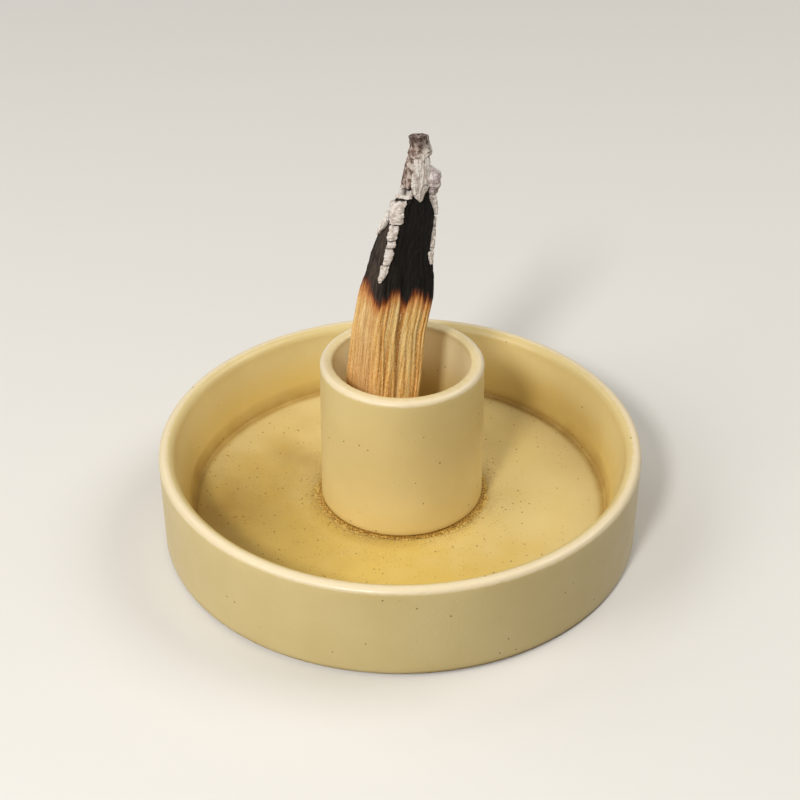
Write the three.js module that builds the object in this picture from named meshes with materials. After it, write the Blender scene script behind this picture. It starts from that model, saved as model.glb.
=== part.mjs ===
// Palo santo holder: a shallow round dish, a cup luted to its floor, and a burnt stick standing in the cup.
// Millimetres, +Z up. The origin is the middle of the dish's foot, on the surface that the dish stands on.
// Seen from the front, which is the -Y side, +X is to the right.

import * as THREE from "three";

// Dish: a glazed earthenware saucer with an upright wall and a low foot ring
const DISH_RADIUS = 50;
const DISH_FOOT_DRAFT = 0.3; // the outer wall leans in by this much at its foot
const DISH_HEIGHT = 21.3;
const DISH_RIM_WIDTH = 3.3;
const DISH_RIM_ROUNDING = 1.2;
const DISH_FOOT_ROUNDING = 1.4;
const DISH_FLOOR_TOP = 7; // from the foot to the top of the floor
const DISH_FLOOR_THICKNESS = 5.4;
const DISH_COVE_RADIUS = 0.5; // between the floor and the wall, inside
const DISH_WALL_DRAFT = 3.1; // the inner wall leans in by this much from the rim down to the cove
const FOOT_RING_WIDTH = 7;
const FOOT_RING_CHAMFER = 1.4;

// Cup: a straight cup with its own bottom, a little off the dish's middle
const CUP_X = 0.4;
const CUP_Y = 1.2;
const CUP_RADIUS = 16.8;
const CUP_FOOT_FLARE = 0.2;
const CUP_HEIGHT = 32.5;
const CUP_WALL = 2.7;
const CUP_BOTTOM = 3;
const CUP_LIP_ROUNDING = 0.9;
const CUP_FOOT_ROUNDING = 0.8;
const CUP_COVE_RADIUS = 2;

// Slip: the clay that lutes the cup to the dish, squeezed out round the cup's foot
const SLIP_THICKNESS = 0.5;
const SLIP_BEAD_WIDTH = 1.4;
const SLIP_BEAD_HEIGHT = 1.1;

// Clearance between pieces that lie against each other on a round or a rough surface
const CLEARANCE = 0.3;

// Stick: a split stick of wood with five long edges. Its foot is cut flat and stands on the cup's bottom.
const STICK_X = -6.2; // the foot's middle, from the cup's axis
const STICK_Y = -0.2;
const STICK_LEAN = 6.2; // degrees, to the right
const WOOD_LENGTH = 46; // the foot to the mean burn line
const CHAR_LENGTH = 30.5; // the mean burn line to the tip of the charred core
const STICK_WIDTH = 15.8; // from the left edge to the right edge, where the stick is widest
const STICK_FRONT = 4.4; // how far the front edge stands forward of the left edge, where that is most
const STICK_BACK = 4.6; // how far the two back edges stand behind it there
const EDGE_ROUNDING = 0.2; // share of each side that a rounded edge takes at either end
const RIGHT_EDGE_FORWARD = 0.35; // how far forward the right edge stands, as a share of the front edge
const BACK_EDGE_INSET = 0.4; // how far the two back edges stand in, as a share of how far they stand back

// The stick's outline. place counts 0 at the foot, 1 at the burn line and 2 at the tip. bow, how far the
// middle lies to the right of the leaning line, and width are shares of STICK_WIDTH, and depth is a share of
// STICK_FRONT and STICK_BACK. edge is the front edge's place across the width.
const STICK_OUTLINE = [
  { place: 0.0, bow: 0.038, width: 0.905, depth: 1, edge: 0.48 },
  { place: 0.56, bow: -0.013, width: 1, depth: 1, edge: 0.4 },
  { place: 0.79, bow: -0.019, width: 0.98, depth: 1, edge: 0.35 },
  { place: 0.96, bow: 0.013, width: 0.98, depth: 1, edge: 0.3 },
  { place: 1.11, bow: 0.025, width: 0.885, depth: 0.98, edge: 0.25 },
  { place: 1.27, bow: 0.019, width: 0.765, depth: 0.945, edge: 0.23 },
  { place: 1.4, bow: 0.038, width: 0.685, depth: 0.9, edge: 0.21 },
  { place: 1.53, bow: 0.073, width: 0.595, depth: 0.835, edge: 0.16 },
  { place: 1.59, bow: 0.089, width: 0.513, depth: 0.765, edge: 0.12 },
  { place: 1.63, bow: 0.076, width: 0.468, depth: 0.725, edge: 0.12 },
  { place: 1.655, bow: 0.104, width: 0.354, depth: 0.655, edge: 0.17 },
  { place: 1.79, bow: 0.098, width: 0.288, depth: 0.57, edge: 0.24 },
  { place: 1.92, bow: 0.082, width: 0.206, depth: 0.4, edge: 0.27 },
  { place: 2.0, bow: 0.079, width: 0.146, depth: 0.255, edge: 0.33 },
];

// Places round the stick count 0 at the left edge, 1 at the front edge, 2 at the right edge, 3 and 4 at the
// two back edges, and 5 at the left edge again.
const SIDE_STEPS = [5, 10, 4, 5, 4]; // facets along each side
const EDGES = SIDE_STEPS.length;
const GROOVE_DEPTH = 0.6; // of the deepest groove
const GROOVES = [
  { round: 1.1, depth: 0.5, halfWidth: 0.1 },
  { round: 1.4, depth: 1, halfWidth: 0.12 },
  { round: 1.8, depth: 0.6, halfWidth: 0.1 },
];

// Height of the burn line round the stick: [place, share of its highest rise], above or below its mean
const BURN_LINE_RISE = 2.7;
const BURN_LINE = [
  [0, 1], [0.35, 0.82], [0.9, -0.3], [1.1, 0.33], [1.3, 0.74], [1.5, 0.07], [1.62, 0.56], [1.75, 0.3],
  [1.88, -0.11], [2, -0.78], [2.5, -0.33], [3, 0.22], [3.5, -0.56], [4, 0.52], [4.5, 0.15], [5, 1],
];

// Ash: flakes on the charred end. Each row crosses a flake from its left border to its right border:
// [share of the char's length, place round the stick, share, place]. Each thickness is a share of
// ASH_THICKNESS.
const ASH_THICKNESS = 0.5; // in a flake's middle
const ASH_EDGE = 0.3; // at a flake's border
const ASH_STEP = 0.2; // width of a flake's facets, in places round the stick
const ASH_STEPS_LEAST = 3;
const ASH_ROW_STEP = 0.6; // greatest height of a flake's facets
const ASH_TIP_FOOT = 0.945; // share of the char's length where the cap of ash begins
const ASH_TIP_CROWN = 1.6; // height of the cap above the core
const ASH_FLAKES = [
  { name: "ash_strip_1", tone: "white", thickness: 1,
    rows: [[0.514, 0.85, 0.52, 1.19], [0.528, 0.81, 0.536, 1.19], [0.567, 0.52, 0.592, 1.17],
      [0.578, 0.1, 0.63, 1.13], [0.588, -0.2, 0.645, 1.1], [0.6, -0.4, 0.664, 1]] },
  { name: "ash_strip_2", tone: "white", thickness: 1,
    rows: [[0.407, 0.88, 0.407, 1.14], [0.45, 0.85, 0.45, 1.13], [0.503, 0.84, 0.503, 1.14]] },
  { name: "ash_strip_3", tone: "white", thickness: 0.95,
    rows: [[0.355, 0.92, 0.355, 1.14], [0.396, 0.89, 0.396, 1.14]] },
  { name: "ash_strip_4", tone: "white", thickness: 0.95,
    rows: [[0.238, 0.93, 0.238, 1.1], [0.275, 0.92, 0.275, 1.12], [0.31, 0.91, 0.31, 1.14],
      [0.343, 0.9, 0.343, 1.1]] },
  { name: "ash_strip_5", tone: "white", thickness: 0.85,
    rows: [[0.106, 0.89, 0.106, 0.95], [0.125, 0.86, 0.125, 0.98], [0.165, 0.85, 0.165, 1.06],
      [0.226, 0.86, 0.226, 1.08]] },
  { name: "ash_curl_left", tone: "white", thickness: 0.9,
    rows: [[0.408, 0.19, 0.408, 0.25], [0.425, 0.17, 0.43, 0.32], [0.45, 0.17, 0.455, 0.4],
      [0.478, 0.17, 0.483, 0.46], [0.505, 0.15, 0.515, 0.46], [0.53, 0.1, 0.538, 0.44],
      [0.552, 0.06, 0.558, 0.38]] },
  { name: "ash_ring_left", tone: "white", thickness: 0.95,
    rows: [[0.63, -0.4, 0.684, 1.2], [0.655, -0.4, 0.705, 1.12], [0.688, -0.4, 0.735, 1.03]] },
  { name: "ash_column_left", tone: "brown", thickness: 0.95,
    rows: [[0.7, -0.4, 0.747, 0.99], [0.73, -0.4, 0.77, 0.95], [0.8, -0.4, 0.82, 0.92],
      [0.934, -0.4, 0.934, 0.92]] },
  { name: "ash_face", tone: "white", thickness: 1.3,
    rows: [[0.652, 1.5, 0.65, 1.6], [0.675, 1.32, 0.666, 1.64], [0.702, 1.22, 0.689, 1.68],
      [0.731, 1.12, 0.713, 1.74], [0.754, 1.07, 0.734, 1.82], [0.78, 1.02, 0.756, 1.86],
      [0.83, 1.02, 0.8, 1.88], [0.87, 1.02, 0.85, 1.92], [0.934, 1.02, 0.934, 1.95]] },
  { name: "ash_shoulder_right", tone: "lilac", thickness: 4.8,
    rows: [[0.668, 2.12, 0.668, 2.3], [0.69, 2, 0.69, 2.48], [0.72, 1.97, 0.715, 2.55],
      [0.76, 1.96, 0.75, 2.58], [0.8, 1.97, 0.79, 2.56], [0.83, 2, 0.825, 2.5], [0.86, 2.08, 0.86, 2.3]] },
  { name: "ash_tail_right", tone: "white", thickness: 0.9,
    rows: [[0.538, 2, 0.538, 2.04], [0.575, 2, 0.575, 2.1], [0.6, 2, 0.6, 2.14],
      [0.63, 2.03, 0.63, 2.2], [0.656, 2.08, 0.656, 2.3]] },
  { name: "ash_edge_right_1", tone: "white", thickness: 0.7,
    rows: [[0.3, 1.95, 0.3, 2.08], [0.37, 2, 0.37, 2.1], [0.41, 2.01, 0.41, 2.1],
      [0.446, 2.03, 0.446, 2.12], [0.48, 2.08, 0.48, 2.16], [0.511, 2.1, 0.511, 2.18]] },
  { name: "ash_edge_right_2", tone: "white", thickness: 0.6,
    rows: [[0.2, 1.94, 0.2, 2], [0.225, 1.92, 0.225, 2.03], [0.25, 1.92, 0.25, 2.06],
      [0.288, 1.93, 0.288, 2.08]] },
  { name: "ash_back", tone: "brown", thickness: 1,
    rows: [[0.68, 3.1, 0.68, 3.6], [0.72, 2.85, 0.72, 4.3], [0.8, 2.8, 0.8, 4.4], [0.93, 2.8, 0.93, 4.4]] },
  { name: "ash_strip_back_1", tone: "white", thickness: 0.95,
    rows: [[0.43, 3.4, 0.43, 3.86], [0.5, 3.3, 0.5, 3.9], [0.62, 3.25, 0.62, 3.8]] },
  { name: "ash_strip_back_2", tone: "white", thickness: 0.85,
    rows: [[0.19, 3.5, 0.19, 3.6], [0.29, 3.42, 0.29, 3.8], [0.415, 3.4, 0.415, 3.84]] },
];

// Facets
const DISH_FACETS = 96;
const CUP_FACETS = 64;
const RINGS_PER_STATION = 2; // rings of the stick from one place in its outline to the next

// Finishes
const material = (color, roughness) => new THREE.MeshStandardMaterial({ color, roughness, metalness: 0 });
const FINISHES = {
  glaze: material(0xe0c48a, 0.32),
  slip: material(0xa07c3c, 0.85),
  wood: material(0xd0a262, 0.75),
  char: material(0x14110f, 0.9),
  white: material(0xded6ca, 0.95),
  brown: material(0x94796b, 0.95),
  lilac: material(0xb9adb4, 0.95),
};

const holder = new THREE.Group();

function addMesh(name, geometry, finish, parent = holder) {
  const mesh = new THREE.Mesh(geometry, FINISHES[finish]);
  mesh.name = name;
  parent.add(mesh);
  return mesh;
}

// Turned pieces

function arc(r, z, radius, fromDegrees, toDegrees, steps) {
  const points = [];
  for (let i = 0; i <= steps; i += 1) {
    const angle = THREE.MathUtils.degToRad(THREE.MathUtils.lerp(fromDegrees, toDegrees, i / steps));
    points.push(new THREE.Vector2(r + radius * Math.cos(angle), z + radius * Math.sin(angle)));
  }
  return points;
}

// The outline runs from the axis out along the underside, up the outside and back to the axis.
function turned(outline, facets) {
  return new THREE.LatheGeometry(outline, facets).rotateX(Math.PI / 2);
}

function dishGeometry() {
  const footRadius = DISH_RADIUS - DISH_FOOT_DRAFT;
  const ringInner = footRadius - DISH_FOOT_ROUNDING - FOOT_RING_WIDTH;
  const recess = DISH_FLOOR_TOP - DISH_FLOOR_THICKNESS;
  const rimInner = DISH_RADIUS - DISH_RIM_WIDTH;
  const coveTop = rimInner - DISH_WALL_DRAFT;
  return turned([
    new THREE.Vector2(0, recess),
    new THREE.Vector2(ringInner - FOOT_RING_CHAMFER, recess),
    new THREE.Vector2(ringInner, 0),
    ...arc(footRadius - DISH_FOOT_ROUNDING, DISH_FOOT_ROUNDING, DISH_FOOT_ROUNDING, -90, 0, 3),
    ...arc(DISH_RADIUS - DISH_RIM_ROUNDING, DISH_HEIGHT - DISH_RIM_ROUNDING, DISH_RIM_ROUNDING, 0, 90, 4),
    ...arc(rimInner + DISH_RIM_ROUNDING, DISH_HEIGHT - DISH_RIM_ROUNDING, DISH_RIM_ROUNDING, 90, 180, 4),
    ...arc(coveTop - DISH_COVE_RADIUS, DISH_FLOOR_TOP + DISH_COVE_RADIUS, DISH_COVE_RADIUS, 0, -90, 4),
    new THREE.Vector2(0, DISH_FLOOR_TOP),
  ], DISH_FACETS);
}

// Each piece on the cup's axis is made from its own underside up.
function cupGeometry() {
  const footRadius = CUP_RADIUS + CUP_FOOT_FLARE;
  const bore = CUP_RADIUS - CUP_WALL;
  return turned([
    new THREE.Vector2(0, 0),
    ...arc(footRadius - CUP_FOOT_ROUNDING, CUP_FOOT_ROUNDING, CUP_FOOT_ROUNDING, -90, 0, 3),
    ...arc(CUP_RADIUS - CUP_LIP_ROUNDING, CUP_HEIGHT - CUP_LIP_ROUNDING, CUP_LIP_ROUNDING, 0, 90, 4),
    ...arc(bore + CUP_LIP_ROUNDING, CUP_HEIGHT - CUP_LIP_ROUNDING, CUP_LIP_ROUNDING, 90, 180, 4),
    ...arc(bore - CUP_COVE_RADIUS, CUP_BOTTOM + CUP_COVE_RADIUS, CUP_COVE_RADIUS, 0, -90, 3),
    new THREE.Vector2(0, CUP_BOTTOM),
  ], CUP_FACETS);
}

function slipGeometry() {
  const bead = CUP_RADIUS + CUP_FOOT_FLARE + CLEARANCE;
  return turned([
    new THREE.Vector2(0, 0),
    new THREE.Vector2(bead + SLIP_BEAD_WIDTH, 0),
    new THREE.Vector2(bead + SLIP_BEAD_WIDTH * 0.5, SLIP_THICKNESS * 0.9),
    new THREE.Vector2(bead, SLIP_THICKNESS + SLIP_BEAD_HEIGHT),
    new THREE.Vector2(bead, SLIP_THICKNESS),
    new THREE.Vector2(0, SLIP_THICKNESS),
  ], CUP_FACETS);
}

// Stick

const lerp = THREE.MathUtils.lerp;
const STICK_LENGTH = WOOD_LENGTH + CHAR_LENGTH;

function placeOf(height) {
  return height < WOOD_LENGTH ? height / WOOD_LENGTH : 1 + (height - WOOD_LENGTH) / CHAR_LENGTH;
}

function heightOf(place) {
  return Math.min(place, 1) * WOOD_LENGTH + Math.max(place - 1, 0) * CHAR_LENGTH;
}

function outlineAt(height) {
  const place = THREE.MathUtils.clamp(placeOf(height), 0, 2);
  const next = Math.max(1, STICK_OUTLINE.findIndex((station) => station.place >= place));
  const [a, b] = [STICK_OUTLINE[next - 1], STICK_OUTLINE[next]];
  const share = (place - a.place) / (b.place - a.place);
  const station = {};
  for (const key of Object.keys(a)) station[key] = lerp(a[key], b[key], share);
  return station;
}

// The five edges at a height, in order round the stick, from the middle of its foot
function edgesAt(height) {
  const outline = outlineAt(height);
  const width = outline.width * STICK_WIDTH;
  const front = outline.depth * STICK_FRONT;
  const back = outline.depth * STICK_BACK;
  const middle = height * Math.tan(THREE.MathUtils.degToRad(STICK_LEAN)) + outline.bow * STICK_WIDTH;
  const left = middle - width / 2;
  const right = middle + width / 2;
  const inset = Math.min(back * BACK_EDGE_INSET, width / 4);
  return [
    new THREE.Vector2(left, 0),
    new THREE.Vector2(left + outline.edge * width, -front),
    new THREE.Vector2(right, -front * RIGHT_EDGE_FORWARD),
    new THREE.Vector2(right - inset, back),
    new THREE.Vector2(left + inset, back),
  ];
}

// A point on the plain five-sided outline, with its edges rounded
function plainPoint(round, height) {
  const edges = edgesAt(height);
  const corner = (index) => edges[((index % EDGES) + EDGES) % EDGES];
  const side = Math.floor(round);
  const along = round - side;
  const near = along < 0.5 ? side : side + 1;
  const fromEdge = (along < 0.5 ? along : along - 1) / EDGE_ROUNDING;
  if (Math.abs(fromEdge) >= 1) return corner(side).clone().lerp(corner(side + 1), along);
  const before = corner(near).clone().lerp(corner(near - 1), EDGE_ROUNDING);
  const after = corner(near).clone().lerp(corner(near + 1), EDGE_ROUNDING);
  const share = (fromEdge + 1) / 2;
  return before.multiplyScalar((1 - share) ** 2)
    .addScaledVector(corner(near), 2 * share * (1 - share))
    .addScaledVector(after, share ** 2);
}

function outward(round, height) {
  const step = 0.02;
  const tangent = plainPoint(round + step, height).sub(plainPoint(round - step, height)).normalize();
  return new THREE.Vector2(tangent.y, -tangent.x);
}

// A point on the stick's skin, moved out by proud
function skinPoint(round, height, proud = 0) {
  let out = proud;
  for (const groove of GROOVES) {
    const wrapped = ((round % EDGES) + EDGES) % EDGES;
    const fade = 1 - Math.max(0, placeOf(height) - 1);
    const sunk = Math.max(0, 1 - Math.abs(wrapped - groove.round) / groove.halfWidth);
    out -= fade * groove.depth * GROOVE_DEPTH * sunk;
  }
  const flat = plainPoint(round, height).addScaledVector(outward(round, height), out);
  return new THREE.Vector3(flat.x, flat.y, height);
}

function burnHeight(round) {
  const wrapped = ((round % EDGES) + EDGES) % EDGES;
  const next = Math.max(1, BURN_LINE.findIndex(([at]) => at >= wrapped));
  const [[a, low], [b, high]] = [BURN_LINE[next - 1], BURN_LINE[next]];
  return WOOD_LENGTH + BURN_LINE_RISE * lerp(low, high, (wrapped - a) / (b - a));
}

const charHeight = (share) => heightOf(1 + share);

// Every place round the stick that a ring of the wood or the char has a vertex at
const ROUND_PLACES = SIDE_STEPS.flatMap(
  (steps, side) => Array.from({ length: steps }, (_, i) => side + i / steps),
);

const ring = (height, proud = 0) => ROUND_PLACES.map((round) => skinPoint(round, height, proud));
const burnRing = (lift) => ROUND_PLACES.map((round) => {
  const height = burnHeight(round) + lift;
  return skinPoint(round, height);
});

function indexedGeometry(vertices, faces) {
  const geometry = new THREE.BufferGeometry().setFromPoints(vertices);
  geometry.setIndex(faces.flat());
  geometry.computeVertexNormals();
  return geometry;
}

function middleOf(points) {
  const sum = points.reduce((total, point) => total.add(point), new THREE.Vector3());
  return sum.divideScalar(points.length);
}

// A closed body through rings of equal length, with a fan over each end
function loft(rings) {
  const count = rings[0].length;
  const vertices = [...rings.flat(), middleOf(rings[0]), middleOf(rings.at(-1))];
  const last = (rings.length - 1) * count;
  const faces = [];
  for (let j = 0; j < count; j += 1) {
    const k = (j + 1) % count;
    for (let start = 0; start < last; start += count) {
      const next = start + count;
      faces.push([start + j, start + k, next + k], [start + j, next + k, next + j]);
    }
    faces.push([vertices.length - 2, k, j], [vertices.length - 1, last + j, last + k]);
  }
  return indexedGeometry(vertices, faces);
}

// Heights at the outline's places and between them, from one height to another
function ringHeights(from, to) {
  const heights = [];
  for (let i = 0; i < (STICK_OUTLINE.length - 1) * RINGS_PER_STATION; i += 1) {
    const station = Math.floor(i / RINGS_PER_STATION);
    const share = (i % RINGS_PER_STATION) / RINGS_PER_STATION;
    heights.push(heightOf(lerp(STICK_OUTLINE[station].place, STICK_OUTLINE[station + 1].place, share)));
  }
  return heights.filter((height) => height > from && height < to);
}

function woodGeometry() {
  const top = WOOD_LENGTH + BURN_LINE_RISE * Math.min(...BURN_LINE.map(([, rise]) => rise));
  return loft([ring(0), ...ringHeights(0, top).map((height) => ring(height)), burnRing(0)]);
}

function charGeometry() {
  const foot = WOOD_LENGTH + CLEARANCE + BURN_LINE_RISE * Math.max(...BURN_LINE.map(([, rise]) => rise));
  const rings = ringHeights(foot, STICK_LENGTH).map((height) => ring(height));
  return loft([burnRing(CLEARANCE), ring(foot), ...rings, ring(STICK_LENGTH)]);
}

// A cap of ash over the char's tip: down the recess that the core fills, up the outside and over the top
function tipGeometry() {
  const foot = charHeight(ASH_TIP_FOOT);
  const skin = CLEARANCE + ASH_THICKNESS;
  const ceiling = STICK_LENGTH + CLEARANCE;
  const level = (height, proud) => ring(STICK_LENGTH, proud).map((point) => point.setZ(height));
  return loft([
    level(ceiling, CLEARANCE),
    ring(foot, CLEARANCE),
    ring(foot, CLEARANCE + ASH_EDGE),
    ring(lerp(foot, STICK_LENGTH, 0.5), skin),
    level(ceiling, skin),
    level(ceiling + ASH_TIP_CROWN * 0.7, skin * 0.9),
    level(ceiling + ASH_TIP_CROWN, CLEARANCE + ASH_EDGE),
  ]);
}

// A flake's rows, with more between them, so that it follows the char's own outline
function flakeRows(rows) {
  const dense = [rows[0]];
  for (let i = 1; i < rows.length; i += 1) {
    const rise = charHeight(rows[i][2]) - charHeight(rows[i - 1][2]);
    const steps = Math.ceil(rise / ASH_ROW_STEP);
    for (let step = 1; step <= steps; step += 1) {
      dense.push(rows[i].map((value, index) => lerp(rows[i - 1][index], value, step / steps)));
    }
  }
  return dense;
}

// A flake of ash: a slab that follows the char's skin, thickest in its middle
function flakeGeometry(flake) {
  const rows = flakeRows(flake.rows);
  const widest = Math.max(...rows.map(([, from, , to]) => to - from));
  const steps = Math.max(ASH_STEPS_LEAST, Math.ceil(widest / ASH_STEP));
  const columns = steps + 1;
  const layer = (outer) => rows.flatMap(([low, from, high, to], row) => {
    const up = row / (rows.length - 1);
    return Array.from({ length: columns }, (_, column) => {
      const across = column / steps;
      const crown = Math.sqrt(Math.sin(Math.PI * across) * Math.sin(Math.PI * up));
      const thickness = outer ? lerp(ASH_EDGE, flake.thickness * ASH_THICKNESS, crown) : 0;
      return skinPoint(lerp(from, to, across), charHeight(lerp(low, high, across)), CLEARANCE + thickness);
    });
  });
  const inner = layer(false);
  const vertices = [...layer(true), ...inner];
  const count = inner.length;
  const faces = [];
  const quad = (a, b, c, d) => faces.push([a, b, c], [a, c, d]);
  for (let left = 0; left < count - columns; left += columns) {
    for (let a = left; a < left + steps; a += 1) {
      quad(a, a + 1, a + columns + 1, a + columns);
      quad(count + a, count + a + columns, count + a + columns + 1, count + a + 1);
    }
    const right = left + steps;
    quad(left, left + columns, count + left + columns, count + left);
    quad(right, count + right, count + right + columns, right + columns);
  }
  const top = count - columns;
  for (let a = 0; a < steps; a += 1) {
    quad(a, count + a, count + a + 1, a + 1);
    quad(top + a, top + a + 1, count + top + a + 1, count + top + a);
  }
  return indexedGeometry(vertices, faces);
}

addMesh("dish", dishGeometry(), "glaze");

const cupAxis = new THREE.Group();
cupAxis.position.set(CUP_X, CUP_Y, DISH_FLOOR_TOP);
holder.add(cupAxis);
addMesh("slip_seam", slipGeometry(), "slip", cupAxis);
addMesh("cup", cupGeometry(), "glaze", cupAxis).position.z = SLIP_THICKNESS;

const stick = new THREE.Group();
stick.position.set(STICK_X, STICK_Y, SLIP_THICKNESS + CUP_BOTTOM + CLEARANCE);
cupAxis.add(stick);
addMesh("stick_wood", woodGeometry(), "wood", stick);
addMesh("stick_char", charGeometry(), "char", stick);
addMesh("ash_tip", tipGeometry(), "brown", stick);
for (const flake of ASH_FLAKES) addMesh(flake.name, flakeGeometry(flake), flake.tone, stick);

export default holder;
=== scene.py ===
"""Palo santo holder: the looks of a glazed dish, the cup on its floor and the burnt stick in the cup.

Sizes are in millimetres, as in the part's own source, and become metres where a mesh is made.
"""

import itertools
import math

import bpy
import numpy as np
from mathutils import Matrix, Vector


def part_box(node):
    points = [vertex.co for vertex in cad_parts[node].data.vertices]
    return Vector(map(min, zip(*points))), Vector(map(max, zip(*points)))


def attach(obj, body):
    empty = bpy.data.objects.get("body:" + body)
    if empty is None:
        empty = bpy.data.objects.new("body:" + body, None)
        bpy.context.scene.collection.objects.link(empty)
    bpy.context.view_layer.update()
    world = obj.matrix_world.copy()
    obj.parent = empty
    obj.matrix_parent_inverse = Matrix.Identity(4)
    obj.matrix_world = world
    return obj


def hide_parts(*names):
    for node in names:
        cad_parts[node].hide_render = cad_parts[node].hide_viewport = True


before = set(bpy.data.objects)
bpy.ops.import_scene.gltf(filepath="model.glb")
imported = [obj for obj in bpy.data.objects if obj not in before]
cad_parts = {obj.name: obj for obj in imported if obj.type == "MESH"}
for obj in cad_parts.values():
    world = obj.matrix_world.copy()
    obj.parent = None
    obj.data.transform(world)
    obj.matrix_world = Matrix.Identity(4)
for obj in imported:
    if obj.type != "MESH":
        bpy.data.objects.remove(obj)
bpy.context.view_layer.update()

MM = 0.001


# Frame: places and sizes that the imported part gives

def box_mm(node):
    low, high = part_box(node)
    return np.array(low) / MM, np.array(high) / MM


DISH_HIGH = box_mm("dish")[1]
CUP_LOW, CUP_HIGH = box_mm("cup")
SEAM_LOW = box_mm("slip_seam")[0]
WOOD_LOW = box_mm("stick_wood")[0]

DISH_RADIUS = DISH_HIGH[0]
DISH_HEIGHT = DISH_HIGH[2]
DISH_FLOOR_TOP = SEAM_LOW[2]
CUP_CENTRE = (CUP_LOW + CUP_HIGH)[:2] / 2
CUP_FOOT_RADIUS = (CUP_HIGH[0] - CUP_LOW[0]) / 2
CUP_HEIGHT = CUP_HIGH[2] - CUP_LOW[2]
STICK_FOOT_HEIGHT = WOOD_LOW[2]

# Dish
DISH_FOOT_DRAFT = 0.3
DISH_RIM_WIDTH = 3.3
DISH_RIM_ROUNDING = 1.2
DISH_RIM_ROUNDING_INSIDE = 1.9
DISH_FOOT_ROUNDING = 1.4
DISH_FLOOR_THICKNESS = 5.4
DISH_COVE_RADIUS = 0.5
DISH_WALL_DRAFT = 3.1
DISH_FLOOR_EDGE = DISH_RADIUS - DISH_RIM_WIDTH - DISH_WALL_DRAFT - DISH_COVE_RADIUS
FOOT_RING_WIDTH = 7
FOOT_RING_CHAMFER = 1.4
CREASE_DEPTH = 0.06  # of the groove where the floor meets the wall
CREASE_HALF_WIDTH = 0.6
RIPPLE = 0.05
SWELL_HEIGHT = 0.22  # of the floor's low ring round the cup
SWELL_OUT = 3.4  # from the cup's foot to the ring's crest
SWELL_HALF_WIDTH = 1.7
HAND_MADE = 0.12  # how far the ceramic strays from a true round
AXIS_RING = 0.5  # radius of the ring at the axis, which a fan of triangles closes
DISH_AROUND = 320
CUP_AROUND = 192
SLIP_AROUND = 720
BEAD_STEPS = 12
# where each stretch of the dish's floor ends, from its edge to its middle, and its rings
DISH_FLOOR_RINGS = ((DISH_FLOOR_EDGE - 3, 14), (26, 16), (17, 20), (AXIS_RING, 7))
# x, y, half width and strength of the brown patches in the floor's glaze; the left ones also paint the
# left wall's shade on the floor
BROWN_AND_SHADE_PATCHES = ((-35, -3, 9, 0.7), (-22, 15, 9, 0.9), (-30, -16, 7, 0.35), (24, 24, 9, 0.4))

# Cup
CUP_FOOT_FLARE = 0.2
CUP_WALL = 2.7
CUP_BOTTOM = 3
CUP_LIP_ROUNDING = 1.1
CUP_LIP_ROUNDING_INSIDE = 0.6
CUP_FOOT_ROUNDING = 0.8
CUP_COVE_RADIUS = 2
CUP_AXIS_RING = 0.4
CUP_RADIUS = CUP_FOOT_RADIUS - CUP_FOOT_FLARE
CUP_BORE = CUP_RADIUS - CUP_WALL
CUP_BASE = CUP_LOW[2]
CUP_LIP = CUP_BASE + CUP_HEIGHT
CUP_FLOOR = CUP_BASE + CUP_BOTTOM

# Slip
SLIP_THICKNESS = CUP_LOW[2] - SEAM_LOW[2]
SLIP_BEAD_WIDTH = 1.4
STAIN_WIDTHS = (0.9, 2.6)  # of the stain round the cup's foot: at the front, and at the left and right
# name, count, smallest and largest radius, how far from the cup's foot they lie
CRUMBS = (
    ("slip_crumbs", 700, 0.05, 0.13, 2.6),
    ("glaze_grains", 1400, 0.05, 0.16, 8.0),
)

# Stick: the same outline as the part's source
STICK_X = -6.2  # the foot's middle, from the cup's axis
STICK_Y = -0.2
STICK_LEAN = 6.2  # degrees, to the right
WOOD_LENGTH = 46
CHAR_LENGTH = 30.5
STICK_WIDTH = 15.8
STICK_FRONT = 4.4
STICK_BACK = 4.6
EDGE_ROUNDING = 0.2
RIGHT_EDGE_FORWARD = 0.35
BACK_EDGE_INSET = 0.4
EDGES = 5
# place, bow, width, depth, edge
STICK_OUTLINE = np.array([
    (0.0, 0.038, 0.905, 1, 0.48),
    (0.56, -0.013, 1, 1, 0.4),
    (0.79, -0.019, 0.98, 1, 0.35),
    (0.96, 0.013, 0.98, 1, 0.3),
    (1.11, 0.025, 0.885, 0.98, 0.25),
    (1.27, 0.019, 0.765, 0.945, 0.23),
    (1.4, 0.038, 0.685, 0.9, 0.21),
    (1.53, 0.073, 0.595, 0.835, 0.16),
    (1.59, 0.089, 0.513, 0.765, 0.12),
    (1.63, 0.076, 0.468, 0.725, 0.12),
    (1.655, 0.104, 0.354, 0.655, 0.17),
    (1.79, 0.098, 0.288, 0.57, 0.24),
    (1.92, 0.082, 0.206, 0.4, 0.27),
    (2.0, 0.079, 0.146, 0.255, 0.33),
])
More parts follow.
